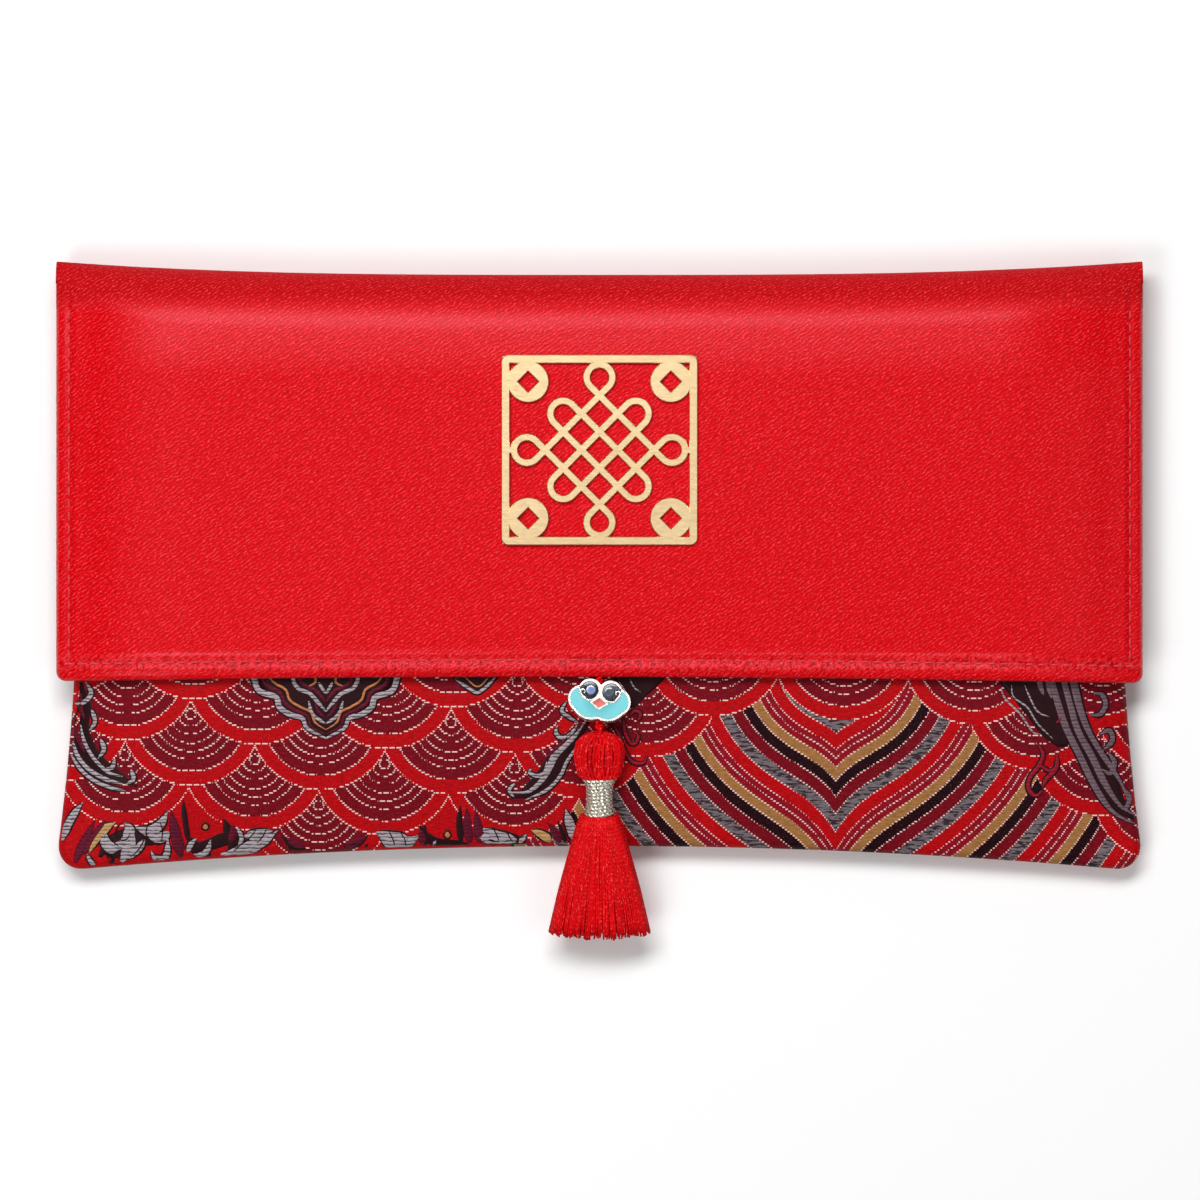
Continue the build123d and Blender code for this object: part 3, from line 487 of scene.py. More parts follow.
        (0.45, -44.2, -13.9, -45.6, -13.7, -46.0, -12.3, -44.7, -11.5),
        ((1.0, 1.2), -68.9, -46.2, -68.9, -47.1),
        ((1.0, 1.2), -26.6, -47.6, -26.6, -48.6),
        (0.26, -23.5, -20.4, -21.2, -22.1, -19.3, -20.4),
        (0.4, 4.6, -18.8, 5.4, -16.2, 7.0, -14.6, 8.6, -16.2, 9.4, -18.8),
        (0.4, -23.9, -18.5, -21.8, -16.4, -19.7, -18.5),
    ],
    "maroon": [
        (0.75, -47.7, -3.2, -50.3, -4.6, -50.9, -6.4, -53.0, -7.4, -54.9, -8.7, -55.7, -10.5, -58.0, -11.8,
         -58.9, -13.8, -59.8, -16.8, -58.9, -19.8, -58.0, -21.8, -55.7, -23.1, -54.9, -24.9, -53.0, -26.2,
         -50.9, -27.2, -50.3, -29.0, -47.7, -30.4),
        (0.75, -47.7, -3.2, -45.1, -4.6, -44.5, -6.4, -42.5, -7.4, -40.6, -8.7, -39.8, -10.5, -37.5, -11.8,
         -36.6, -13.8, -35.7, -16.8, -36.6, -19.8, -37.5, -21.8, -39.8, -23.1, -40.6, -24.9, -42.5, -26.2,
         -44.5, -27.2, -45.1, -29.0, -47.7, -30.4),
        (0.75, -52.0, -19.3, -52.2, -20.8, -51.2, -21.9, -49.5, -22.7, -48.2, -24.1, -47.7, -24.9),
        (0.75, -43.5, -19.3, -43.3, -20.8, -44.2, -21.9, -46.0, -22.7, -47.2, -24.1, -47.7, -24.9),
        (0.75, -47.7, -8.7, -48.2, -9.5, -49.5, -10.9, -51.2, -11.7, -52.2, -12.8, -52.0, -14.3),
        (0.75, -47.7, -8.7, -47.2, -9.5, -46.0, -10.9, -44.2, -11.7, -43.3, -12.8, -43.5, -14.3),
        (0.6, -49.6, -24.9, -49.0, -26.4, -47.7, -27.6),
        (0.6, -45.8, -24.9, -46.5, -26.4, -47.7, -27.6),
        (0.6, -47.7, -6.0, -49.0, -7.2, -49.6, -8.7),
        (0.6, -47.7, -6.0, -46.5, -7.2, -45.8, -8.7),
        ((0.5, 1.1, 0.8), -92.8, -27.8, -91.6, -30.3, -90.1, -33.6),
        (0.8, -90.8, -23.3, -90.8, -25.8, -90.1, -27.8),
        ((1.3, 1.7, 1.5, 0.7), -91.9, -53.4, -90.8, -50.3, -89.4, -47.8, -88.3, -45.6),
        ((0.5, 2.2, 2.5, 2.3), -74.9, -43.6, -74.3, -46.8, -73.7, -49.8, -73.0, -53.4),
        ((1.0, 1.9, 1.5), -64.2, -46.3, -64.1, -47.9, -64.7, -49.4),
        ((0.5, 1.2, 1.2), -52.4, -50.3, -51.7, -51.4, -50.8, -52.5),
        ((0.5, 1.1), -42.5, -50.7, -43.3, -52.1),
        ((0.8, 1.7, 1.5), -31.4, -47.2, -31.0, -48.8, -31.5, -50.7),
        ((0.6, 1.8, 2.2, 2.0), -21.7, -43.8, -21.3, -46.3, -21.0, -48.8, -20.7, -51.4),
        ((0.3, 0.61, 0.61, 0.38), -4.9, -29.9, -6.4, -31.8, -8.3, -33.6, -10.2, -35.2),
        ((0.53, 1.74, 1.89, 1.74), -23.0, -43.7, -23.1, -45.8, -22.9, -48.0, -22.6, -50.2),
        ((0.38, 1.67, 1.67), -9.1, -45.9, -7.8, -47.6, -6.7, -49.9),
        (0.9, 93.0, -41.9, 94.0, -43.4, 95.2, -44.9),
        ((1.2, 1.8, 1.4), -86.5, -45.6, -88.5, -48.7, -90.3, -51.5),
        ((1.0, 1.5, 1.2), -54.7, -48.7, -53.2, -49.7, -51.7, -50.2),
        ((1.0, 1.5, 1.2), -40.9, -48.5, -42.5, -49.4, -44.5, -50.1),
    ],
    "gold": [
        ((0.8, 2.0, 2.2, 0.7), -89.3, -51.2, -88.2, -48.8, -86.4, -46.9, -84.6, -45.8),
        ((0.38, 1.74, 2.04, 1.51), -12.0, -47.2, -10.4, -47.9, -9.1, -48.7, -7.9, -50.0),
    ],
    "black": [
        ((2.0, 3.51, 4.01, 4.51, 4.01, 3.01, 1.0), -90.8, -21.3, -90.1, -25.3, -90.8, -29.3, -89.6, -33.3,
         -86.8, -36.3, -83.3, -38.3, -80.8, -39.6),
        ((3.01, 4.51, 5.01, 3.01), -86.7, -48.3, -85.2, -50.3, -84.8, -51.9, -86.3, -53.9),
        ((0.4, 1.2, 1.3, 1.2), -72.7, -41.6, -72.5, -44.8, -72.1, -47.8, -71.7, -49.8),
        ((1.7, 2.2), -68.9, -45.8, -68.9, -47.4),
        ((1.0, 3.01, 3.01, 1.5), -71.9, -48.3, -70.7, -50.3, -68.8, -51.5, -66.3, -52.4),
        ((1.0, 2.3, 3.01, 2.5), -65.7, -45.2, -64.7, -47.8, -63.8, -49.1, -64.8, -51.1),
        ((0.8, 1.4, 1.3), -54.6, -49.1, -53.8, -50.6, -53.0, -52.1),
        ((0.5, 1.1, 1.0), -40.6, -49.6, -41.2, -50.8, -41.8, -52.1),
        ((1.0, 2.2, 2.5), -30.6, -46.3, -30.8, -48.3, -30.1, -50.8),
        ((1.7, 2.2), -26.6, -47.2, -26.6, -48.9),
        ((0.4, 1.3, 1.4, 1.3), -23.2, -43.3, -23.2, -46.3, -22.8, -48.8, -22.5, -51.1),
        ((1.89, 2.65, 3.41, 4.16, 4.16, 3.41, 1.51), -1.9, -28.3, -3.8, -30.6, -6.1, -32.9, -7.9, -35.5,
         -9.8, -38.2, -12.5, -40.5, -15.5, -41.6),
        ((0.38, 1.36, 1.51, 1.36), -24.3, -42.8, -24.5, -45.4, -24.4, -47.6, -24.1, -50.1),
        ((1.51, 4.16, 4.16, 2.27), -21.2, -48.0, -18.5, -49.2, -15.5, -49.2, -12.9, -49.5),
        ((0.3, 0.98, 1.14), -7.3, -45.6, -6.6, -47.5, -5.7, -49.9),
        ((0.5, 3.01, 5.51, 6.01, 6.51, 6.51, 6.01, 4.51, 2.5), 77.9, -11.9, 79.7, -16.9, 80.9, -20.9,
         82.0, -25.9, 83.8, -30.4, 86.9, -35.9, 89.7, -40.9, 92.0, -43.9, 95.2, -46.4),
        ((2.0, 3.4, 4.4, 4.6, 4.0, 2.6), -87.5, -52.0, -86.2, -50.2, -83.9, -48.9, -80.8, -48.3, -77.8, -48.5,
         -75.5, -49.2),
        ((1.6, 2.8, 3.2, 2.0), -71.4, -50.4, -68.5, -49.9, -65.5, -48.8, -62.4, -48.5),
        ((0.8, 1.6, 1.4), -55.5, -48.4, -53.4, -50.1, -51.4, -50.6),
        ((0.8, 1.6, 1.4), -40.6, -48.3, -42.4, -49.7, -44.7, -50.3),
        ((1.4, 2.2, 2.0, 1.4), -31.4, -46.4, -30.4, -48.3, -28.1, -49.5, -23.0, -49.7),
        (0.2, -82.0, -45.8, -80.9, -47.3, -79.7, -48.7, -80.7, -50.7, -82.1, -52.0),
        (0.2, -78.7, -45.9, -79.3, -47.5, -78.8, -49.1, -77.0, -49.9),
        (0.2, -83.3, -45.8, -84.5, -47.1, -84.3, -48.7, -82.8, -48.9, -82.0, -47.7),
        (0.2, -76.8, -45.8, -76.4, -47.4, -76.6, -49.2),
        (0.2, -59.9, -46.9, -61.0, -48.4, -62.8, -49.8, -64.2, -51.2),
        (0.2, -58.2, -46.9, -58.8, -48.2, -59.9, -49.5),
        (0.2, -36.9, -47.3, -36.2, -48.7, -35.8, -50.1),
        (0.2, -34.8, -47.7, -34.1, -48.8, -33.9, -50.1),
        (0.2, -18.7, -46.7, -17.9, -48.3, -17.4, -49.8),
        (0.2, -16.3, -47.1, -15.8, -48.4, -15.1, -49.4),
        (0.2, -85.9, -48.0, -85.3, -49.1, -84.1, -50.1),
    ],
    "red": [
        (0.61, 2.3, -28.5, 3.4, -30.6, 4.2, -32.9, 5.7, -35.2, 7.6, -35.5, 8.3, -34.2),
        (0.61, 4.2, -27.6, 4.4, -29.9, 5.3, -31.8, 6.2, -32.1, 6.8, -30.6, 5.7, -29.9),
        (0.53, 5.3, -27.2, 6.1, -26.3, 7.2, -26.8, 6.6, -28.3),
        (0.53, 1.5, -29.1, 2.8, -32.1, 3.8, -34.4, 3.0, -36.3),
        (0.8, 76.4, -31.9, 77.4, -33.9, 76.7, -35.9, 75.2, -37.9, 74.9, -39.9, 76.2, -41.2, 77.4, -40.2),
        (0.8, 79.9, -33.9, 79.7, -36.4, 77.9, -38.4, 77.4, -39.9),
        (0.7, 76.9, -35.9, 78.9, -36.9, 80.2, -35.4),
        (0.6, 79.9, -25.9, 80.7, -27.4, 79.7, -28.4),
    ],
}
patches = [
    [(-11.8, -58.3, -37.2), (-14.8, -61.0, -34.5), (-18.8, -61.3, -34.2), (-20.3, -60.3, -35.2),
     (-22.8, -59.4, -36.1), (-23.9, -56.4, -39.1), (-25.6, -55.8, -39.7), (-26.9, -54.1, -41.4),
     (-27.6, -51.9, -43.6), (-29.3, -51.1, -44.4), (-31.1, -48.2, -47.2)],
    [(-18.5, 1.1, 12.9), (-20.6, 2.3, 11.5), (-21.5, 3.4, 10.6), (-22.7, 4.5, 9.3), (-23.8, 4.9, 8.0),
     (-24.7, 5.3, 7.2), (-25.7, 5.3, 6.2)],
    [(-18.5, -27.3, -16.3), (-20.4, -25.7, -17.4), (-21.5, -24.6, -18.5), (-22.5, -22.7, -19.7),
     (-23.3, -21.5, -20.9)],
    [(-18.4, 66.9, 79.4), (-21.4, 69.7, 78.7), (-23.9, 71.9, 79.4), (-26.4, 73.9, 80.4), (-28.9, 75.9, 81.2),
     (-30.9, 77.4, 81.9), (-32.6, 79.9, 81.7)],
]
# Light and deep colour of each float, and how strongly its cross threads are cut in.
float_colours = {
    "silver": ((0.50, 0.45, 0.47, 1), (0.26, 0.21, 0.24, 1), 0.85),
    "mauve": ((0.24, 0.165, 0.195, 1), (0.10, 0.055, 0.07, 1), 0.6),
    "orange": ((0.62, 0.24, 0.08, 1), (0.4, 0.1, 0.04, 1), 0.3),
    "maroon": ((0.15, 0.006, 0.026, 1), (0.07, 0.003, 0.012, 1), 0.5),
    "gold": ((0.62, 0.38, 0.15, 1), (0.36, 0.18, 0.06, 1), 0.5),
    "red": ((0.40, 0.01, 0.03, 1), (0.2, 0.004, 0.012, 1), 0.4),
    "black": ((0.030, 0.005, 0.008, 1), (0.008, 0.002, 0.003, 1), 0.0),
}
FLOAT_STEP, FLOAT_GROW, FLOAT_LIFT, FLOAT_SINK, FLOAT_MARGIN = 0.45, 0.16, 0.10, -0.06, 0.45
THIN_LINE, THIN_LIFT, BLACK_LIFT, OUTLINE_GROW, OUTLINE_LIFT = 0.3, 0.15, 0.05, 0.85, 0.06
MEDALLION_Y = -16.8


def gone_along(path):
    """How far each point of a path is from its start."""
    return np.concatenate([[0], np.cumsum(np.linalg.norm(np.diff(path, axis=0), axis=1))])


def smooth_line(points, step):
    """A smooth curve through the points, at even steps."""
    points = np.asarray(points, float)
    padded = np.concatenate([[2 * points[0] - points[1]], points, [2 * points[-1] - points[-2]]])
    t = np.linspace(0, 1, 12, endpoint=False)[:, None]
    curve = [0.5 * (2 * b + (c - a) * t + (2 * a - 5 * b + 4 * c - d) * t ** 2 + (3 * b - a - 3 * c + d) * t ** 3)
             for a, b, c, d in zip(padded, padded[1:], padded[2:], padded[3:])]
    curve = np.concatenate(curve + [points[-1:]])
    gone = gone_along(curve)
    even = np.linspace(0, gone[-1], max(4, int(gone[-1] / step) + 1))
    return np.stack([np.interp(even, gone, curve[:, k]) for k in (0, 1)], -1), even


def tube_faces(rings, sides, start=0):
    """Faces of a closed tube whose points go round it ring by ring."""
    index = start + np.arange(rings * sides).reshape(rings, sides)
    after = np.roll(index, -1, axis=1)
    quads = np.stack([index[:-1], after[:-1], after[1:], index[1:]], -1).reshape(-1, 4)
    return quads.tolist() + [index[0, ::-1].tolist(), index[-1].tolist()]


def add_float(points, faces, lay, stroke, grow, lift):
    """One raised float of thread along a stroke on the front of the pouch, cut off at the pouch's edge."""
    line, gone = smooth_line(np.reshape(stroke[1:], (-1, 2)), FLOAT_STEP)
    stops = np.linspace(0, 1, np.size(stroke[0]))
    width = np.interp(gone / gone[-1], stops, np.atleast_1d(stroke[0])) + grow
    keep = edge_distance(line[:, 0], line[:, 1]) > 0.5
    if keep.sum() < 3:
        return
    line, gone, width = line[keep], gone[keep], width[keep]
    heading = np.gradient(line, axis=0)
    heading /= np.linalg.norm(heading, axis=1)[:, None] + 1e-9
    normal = np.stack([-heading[:, 1], heading[:, 0]], -1)
    share = gone / gone[-1]
    half = width / 2 * np.minimum(1, 0.35 + 3.2 * np.minimum(share, 1 - share))
    profile = ((-1, FLOAT_SINK), (-0.6, 0.7 * lift), (0, lift), (0.6, 0.7 * lift), (1, FLOAT_SINK))
    rows = []
    for side, up in profile:
        place = line + normal * (side * half)[:, None]
        place[:, 1] = np.maximum(place[:, 1], foot_line(place[:, 0]) + FLOAT_MARGIN)
        limit = side_line(place[:, 1]) - FLOAT_MARGIN
        place[:, 0] = np.clip(place[:, 0], -limit, limit)
        rows.append(np.column_stack([place, front_top(place[:, 0], place[:, 1]) + up]))
    rings = np.stack(rows, 1).reshape(-1, 3)
    faces += tube_faces(len(line), len(profile), len(points))
    points += rings.tolist()
    lay += (rings * (1, 1, 0)).tolist()


def add_patch(points, faces, lay, rows):
    """A dark ground between two edges, mirrored upward from its first row or from the medallion's middle."""
    turn_at = min(rows[0][0], MEDALLION_Y)
    lower = [row for row in rows if row[0] < turn_at]
    both = np.array([(2 * turn_at - row[0], row[1], row[2]) for row in lower[::-1]] + lower)
    fine = np.linspace(both[0, 0], both[-1, 0], 48)
    left, right = (np.interp(-fine, -both[:, 0], both[:, k]) for k in (1, 2))
    place = left + (right - left) * np.linspace(0, 1, 9)[:, None]
    faces += sheet_faces(*place.shape, len(points))
    for up in (BLACK_LIFT, -0.1):
        sheet = grid(place, fine, front_top(place, fine) + up).reshape(-1, 3)
        points += sheet.tolist()
        lay += (sheet * (1, 1, 0)).tolist()


def float_material(name, light, deep, hatch):
    made = plain_material(name, light, 0.45, 0.1, Specular_IOR_Level=0.1)
    lay, _, along = lay_of(made.node_tree)
    speck = noise(lay, (0.7, 1.6, 1.0), 2.0)
    bars = (waves(along, 0.64) + speck * 7.0).op("SINE")
    cut = ramp(bars * 0.5 + 0.5, [(0.06, hatch), (0.34, 0)], True)
    feed(made, mixed(cut, mixed(speck, deep, light), black), height=bars, strength=hatch, distance=0.00005)
    return made


outlined = []
for colour, look in float_colours.items():
    points, faces, lay = [], [], []
    for stroke in figures[colour]:
        widest, lift = np.max(stroke[0]), FLOAT_LIFT
        if colour == "black":
            lift = BLACK_LIFT if widest > THIN_LINE else THIN_LIFT
        add_float(points, faces, lay, stroke, FLOAT_GROW, lift)
        if colour in ("silver", "mauve", "red", "gold") and widest > 0.5:
            outlined.append(stroke)
    if colour == "black":
        for stroke in outlined:
            add_float(points, faces, lay, stroke, OUTLINE_GROW, OUTLINE_LIFT)
        for rows in patches:
            add_patch(points, faces, lay, rows)
    name = "woven_" + colour
    fit(make_piece(name, points, faces, lay), float_material(name, *look), "pouch", "brocade")

# Lining of the pouch: plain red weave, 0.25 mm, glued over the boards of front and back, and the brocade
# turned in 8 mm round the front board's end at the mouth. All of it rides the pouch and shows with the flap open.
LINING_INSET, LINING_CORNER, LINING_THICK, LINING_PITCH = 4.2, 2.5, 0.25, 0.5
plain_weave = group("plain weave")
lay, across, along = lay_of(plain_weave)
cloud = noise(lay, 0.6, 4.0)
give(Colour=mixed(cloud, (0.34, 0.006, 0.014, 1), (0.5, 0.012, 0.022, 1)),
     Height=waves(across, LINING_PITCH).op("SINE") * waves(along, LINING_PITCH).op("SINE"), Gloss=cloud * 0.2 + 0.6)
lining = plain_material("lining", (0.45, 0.01, 0.02, 1), 0.7, Specular_IOR_Level=0.08)
use_group(lining, plain_weave, strength=0.5, distance=0.00005)
for name, node, board, top, tall, face, depth in (
        ("front_liner", "front_lining", "front_stiffener", 29.9, 0.081, front_top, -1.74),
        ("back_liner", "back_lining", "back_stiffener", 37.2, 0.088, back_foot, 1.75)):
    x, y = pouch_grid(columns=91, rows=51, top=top, inset=LINING_INSET, corner=LINING_CORNER)
    ripple = 0.04 * np.sin(x / 7.3 + 1.3 * np.sin(y / 11.0))
    z = face(x, y) + depth + ripple
    piece = sheet_piece(name, grid(x, y, z), grid(x, y, z - LINING_THICK), grid(x, y, 0))
    fit(piece, lining, "pouch", "lining", node)
# The turning's outer and inner face in section: y, and the drop below the front's top.
turn_out = np.array([(37.6, -0.02), (38.1, -0.06), (38.42, -0.35), (38.52, -0.95), (38.4, -1.55), (38.0, -1.95),
                     (37.2, -2.1), (35.0, -2.1), (32.5, -2.1), (30.0, -2.1)])
turn_in = np.array([(37.6, -0.3), (38.0, -0.34), (38.15, -0.5), (38.2, -0.95), (38.1, -1.35), (37.9, -1.6),
                    (37.2, -1.7), (35.0, -1.7), (32.5, -1.7), (30.0, -1.7)])
share = x[-1:] / x[-1, -1]
turn_faces = []
for section in (turn_out, turn_in):
    y, drop = section[:, :1], section[:, 1:]
    x = share * (side_line(y) - LINING_INSET)
    turn_faces.append(grid(x, y, front_top(x, np.minimum(y, MOUTH)) + drop))
turn_lay = grid(turn_faces[0][..., 0], turn_out[0, 0] + gone_along(turn_out)[:, None], 0)
turning = sheet_piece("mouth_turning", *turn_faces, turn_lay)
fit(turning, brocade, "pouch", "brocade", "mouth_hem")

# Satin of the flap and the back yoke: one glossy red twill, 0.5 mm, folded over the top and turned in round
# the flap's board. The flap part rides the flap; the fold is fixed in place between pouch and flap and is sewn to
# the back.
FLAP_HALF, FLAP_TOP, FLAP_THICK, FLAP_CORNER, FLAP_TALL, FLAP_HEM = 95.0, 14.14, 1.9, 1.8, 61.0, 8
SAG_FROM, SAG_DROP, FOLD_Y, FOLD_FLARE, FOLD_LOW = 70, 5.5, 49.9, 2.4, 8.64
STITCH_PITCH, STITCH_LINE, RIB_PITCH, RIB_LEAN, FLAP_CROWD = 2.2, 3.0, 0.62, math.radians(-35), 1.25


def flap_sag(x):
    beyond = np.maximum(np.abs(x) - SAG_FROM, 0)
    bend = ((FLAP_HALF - SAG_FROM) ** 2 + SAG_DROP ** 2) / (2 * SAG_DROP)
    return bend - np.sqrt(bend ** 2 - beyond ** 2)


def fold_radius(x):
    return (FLAP_TOP - flap_sag(x) - back_foot(np.clip(x, -POUCH_HALF, POUCH_HALF), FOLD_Y)) / 2


def fold_middle(x):
    return FOLD_Y + FOLD_FLARE * (np.abs(x) / FLAP_HALF) ** 3.2 - fold_radius(x)


def fold_reach(x):
    return 1.45 * fold_radius(x)


def fold_start(x):
    return fold_middle(x) + fold_radius(x) - fold_reach(x)


def flap_foot(x):
    return -20.4 - 1.0 * (x / FLAP_HALF) ** 2 - 0.2 * (x / FLAP_HALF)


def ridge(gap, at, width):
    return np.exp(-((gap - at) / width) ** 2)


satin = group("satin twill")
lay, _, along = lay_of(satin)
turned = wire(satin, "VectorRotate", lay, (0, 0, 0), (0, 0, 1), RIB_LEAN, rotation_type="AXIS_ANGLE")
wander = noise(lay, 0.9, 4.0)
rib = (waves(axis_of(turned, 1), RIB_PITCH) + wander * 14.0).op("SINE")
fibre, fleck = noise(turned, (0.7, 5.0, 1), 3.0), noise(turned, (1.7, 4.4, 1), 2.0)
# Pale pink specks along the twill's ribs are painted sparkle: glints of light on the threads, mixed into the
# colour.
painted_sparkle = ramp(rib * 0.11 + fleck, [(0.58, 0), (0.76, 1)], True)
from_hem = (along + 21.4) / 10.0
puckered = ramp(from_hem, [(0.16, 0), (0.24, 1), (0.38, 1), (0.52, 0)], True)
crinkle = noise(lay, (1.25, 0.9, 1), 4.0)
# In the puckered band by the hem the crinkles are lit and shaded in the colour: a pink painted highlight on their
# tops and dark painted shade in their dips.
painted_crinkle_highlight = puckered * ramp(crinkle, [(0.48, 0), (0.64, 0.36)], True)
painted_crinkle_shade = puckered * ramp(crinkle, [(0.36, 0.75), (0.48, 0)], True)
shoulder = wire(satin, "MapRange", along, 32.0, 47.0, 0.0, -55.0, interpolation_type="SMOOTHSTEP")
# Towards the top of the fold the colour darkens: painted shade where the satin turns away from the light. The same
# share also makes the satin duller there.
painted_fold_shade = wire(satin, "MapRange", along, 42.5, 47.0, 0.0, 0.55, interpolation_type="SMOOTHSTEP")
base = mixed(ramp(fibre, [(0.3, 0), (0.7, 1)], True), (0.55, 0.0004, 0.002, 1), (0.93, 0.001, 0.006, 1))
base = mixed(ramp(rib, [(0.0, 0.5), (0.9, 0)], True), base, (0.36, 0.0004, 0.0015, 1))
base = mixed(painted_crinkle_shade, base, (0.30, 0.0004, 0.0015, 1))
base = mixed(painted_fold_shade, base, (0.36, 0.0003, 0.001, 1))
pebbled = rib * 0.30 + (fibre * 0.8 + fleck * 1.2)
give(Colour=mixed(painted_crinkle_highlight.op("MAXIMUM", painted_sparkle * 0.70), base, (0.98, 0.068, 0.092, 1)),
     Height=pebbled + shoulder + puckered * (crinkle * 16.0), Gloss=painted_fold_shade + (painted_sparkle * -0.05 + 0.29))
satin_red = plain_material("satin", (0.6, 0.004, 0.012, 1), 0.4, Specular_Tint=(1.0, 0.42, 0.52, 1),
                           Specular_IOR_Level=0.23)
use_group(satin_red, satin, strength=0.3, distance=0.00006)

t = np.linspace(-1, 1, 361)
across_share = (np.sign(t) * (1 - (1 - np.abs(t)) ** FLAP_CROWD))[None, :]
rows_flat = np.concatenate([np.linspace(0, 1.2, 9), np.linspace(1.5, 5.4, 14), np.linspace(6.3, FLAP_TALL, 44)])
rows_flat = rows_flat[:, None]
past_hem = np.maximum(rows_flat - FLAP_HEM, 0) / (FLAP_TALL - FLAP_HEM) * FLAP_TALL
x = across_share * FLAP_HALF + 0 * rows_flat
for _ in range(3):
    foot = flap_foot(x)
    y = foot + rows_flat + ((fold_start(x) - foot) / FLAP_TALL - 1) * past_hem
    cut = np.clip(FLAP_CORNER - (y - foot), 0, FLAP_CORNER)
    x = across_share * (FLAP_HALF - (FLAP_CORNER - np.sqrt(FLAP_CORNER ** 2 - cut ** 2)))
side_gap, foot_gap = FLAP_HALF - np.abs(x), y - flap_foot(x)
hem = np.minimum(side_gap + 0.6, foot_gap)
run = np.where(side_gap + 0.6 < foot_gap, y, x)
dimple = 0.5 + 0.5 * np.cos(2 * math.pi * run / STITCH_PITCH)
crumple = np.sin(run * 3.1 + 1.7 * np.sin(run * 0.9)) * np.sin(run * 1.3 + 0.6)
relief = 0.16 * ridge(hem, 1.5, 0.8) - (0.14 + 0.12 * dimple) * ridge(hem, STITCH_LINE, 0.4)
relief += (0.07 + 0.06 * crumple) * ridge(hem, 4.0, 0.6)
relief -= 0.15 * ridge(side_gap, 6.5, 2.2) * np.clip(foot_gap / FLAP_HEM, 0, 1)
relief += 0.22 * np.sin(x / 27 + 0.4) * np.sin(y / 17 + 1.1) + 0.05 * np.sin(x / 9.1 + y / 13.7)
z = FLAP_TOP - flap_sag(x) + relief
share = edge_round(corner_distance(side_gap, foot_gap, FLAP_CORNER))
flat_outer = grid(x, y, z - FLAP_THICK / 2 * (1 - share))
flat_inner = grid(x, y, z - FLAP_THICK / 2 * (1 + share))
flat_under, flat_lay = grid(x, y, z - FLAP_THICK), grid(x, y, 0)
xa = x[-1][None, :]
radius, middle = fold_radius(xa), fold_middle(xa)
height = FLAP_TOP - flap_sag(xa) - radius
low_angle = np.arcsin(np.clip((FOLD_LOW - height) / radius, -1, 1))
step = np.linspace(0, 1, 25)[1:, None]
angle = math.pi / 2 + (low_angle - math.pi / 2) * step
fade = relief[-1][None, :] * (1 - step)
thick = FLAP_THICK + (0.6 - FLAP_THICK) * np.clip(step * 2 - 0.6, 0, 1)
share = edge_round(FLAP_HALF - np.abs(xa))


def on_fold(lift):
    upper = angle > 0
    reach = np.where(upper, fold_reach(xa), radius)
    start = np.where(upper, fold_start(xa), middle)
    return grid(xa, start + (reach + lift) * np.cos(angle), height + (radius + lift) * np.sin(angle))


fold_outer, fold_inner = on_fold(fade - thick / 2 * (1 - share)), on_fold(fade - thick / 2 * (1 + share))
fold_under = on_fold(fade - thick)
fold_lay = grid(xa, fold_start(xa) + 1.35 * radius * (math.pi / 2 - angle), 0)
flap = sheet_piece("flap_satin", np.concatenate([flat_outer, fold_outer]), np.concatenate([flat_inner, fold_inner]),
                   np.concatenate([flat_lay, fold_lay]))
fit(flap, satin_red, "flap", "satin", "flap_cover", "flap_hem")

low_turn = np.linspace(0, 1, 27)[:, None]
angle = low_angle + (-math.pi / 2 - low_angle) * low_turn
yoke = np.linspace(0, 1, 16)[1:, None]


def yoke_piece(name, lift, thick, last, near, rest):
    """The lower half of the fold and the strip of the back below it, lifted inward from the outer face."""
    ends = middle + (last - middle) * yoke
    narrow = np.minimum(1, (side_line(ends) + 0.3) / FLAP_HALF)
    wide = xa * (1 + (narrow - 1) * yoke)
    limit = side_line(ends) - 0.8
    start = height - radius
    base = start + (back_foot(np.clip(wide, -limit, limit), ends) - start) * np.minimum(yoke * 3, 1)
    up = rest(base, ends)
    inward = lift + (rest(start, middle) - lift) * low_turn ** 2
    outer = np.concatenate([on_fold(-inward), grid(wide, ends, base + up)])
    inner = np.concatenate([on_fold(-inward - thick), grid(wide, ends, base + up + thick)])
    lay = np.concatenate([grid(xa, middle + radius * (math.pi / 2 - angle), 0),
                          grid(wide, middle + radius * math.pi + (middle - ends), 0)])
    return sheet_piece(name, outer * (near, 1, 1), inner * (near, 1, 1), lay)


def behind_brocade(base, at):
    """The satin steps in by its own thickness where the back's brocade begins."""
    return 0.55 * np.clip((MOUTH + 0.5 - at) / 0.4, 0, 1)


def over_board(base, at):
    """The lining comes down over the back board, and lies on the satin where the back rises."""
    return np.minimum(1.55, np.maximum(0.5, 3.2 - base))


fold = yoke_piece("fold_satin", lift=0.0, thick=0.45, last=36.5, near=1.0, rest=behind_brocade)
fold_liner = yoke_piece("fold_liner", lift=0.6, thick=0.3, last=36.0, near=0.985, rest=over_board)
for piece, made, nodes, slot, width in ((fold, satin_red, ("flap_fold", "back_yoke"), "satin", 0.020),
                                        (fold_liner, lining, ("fold_lining",), "lining", 0.018)):
    piece.data.materials.append(made)
    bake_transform(piece)
    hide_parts(*nodes)

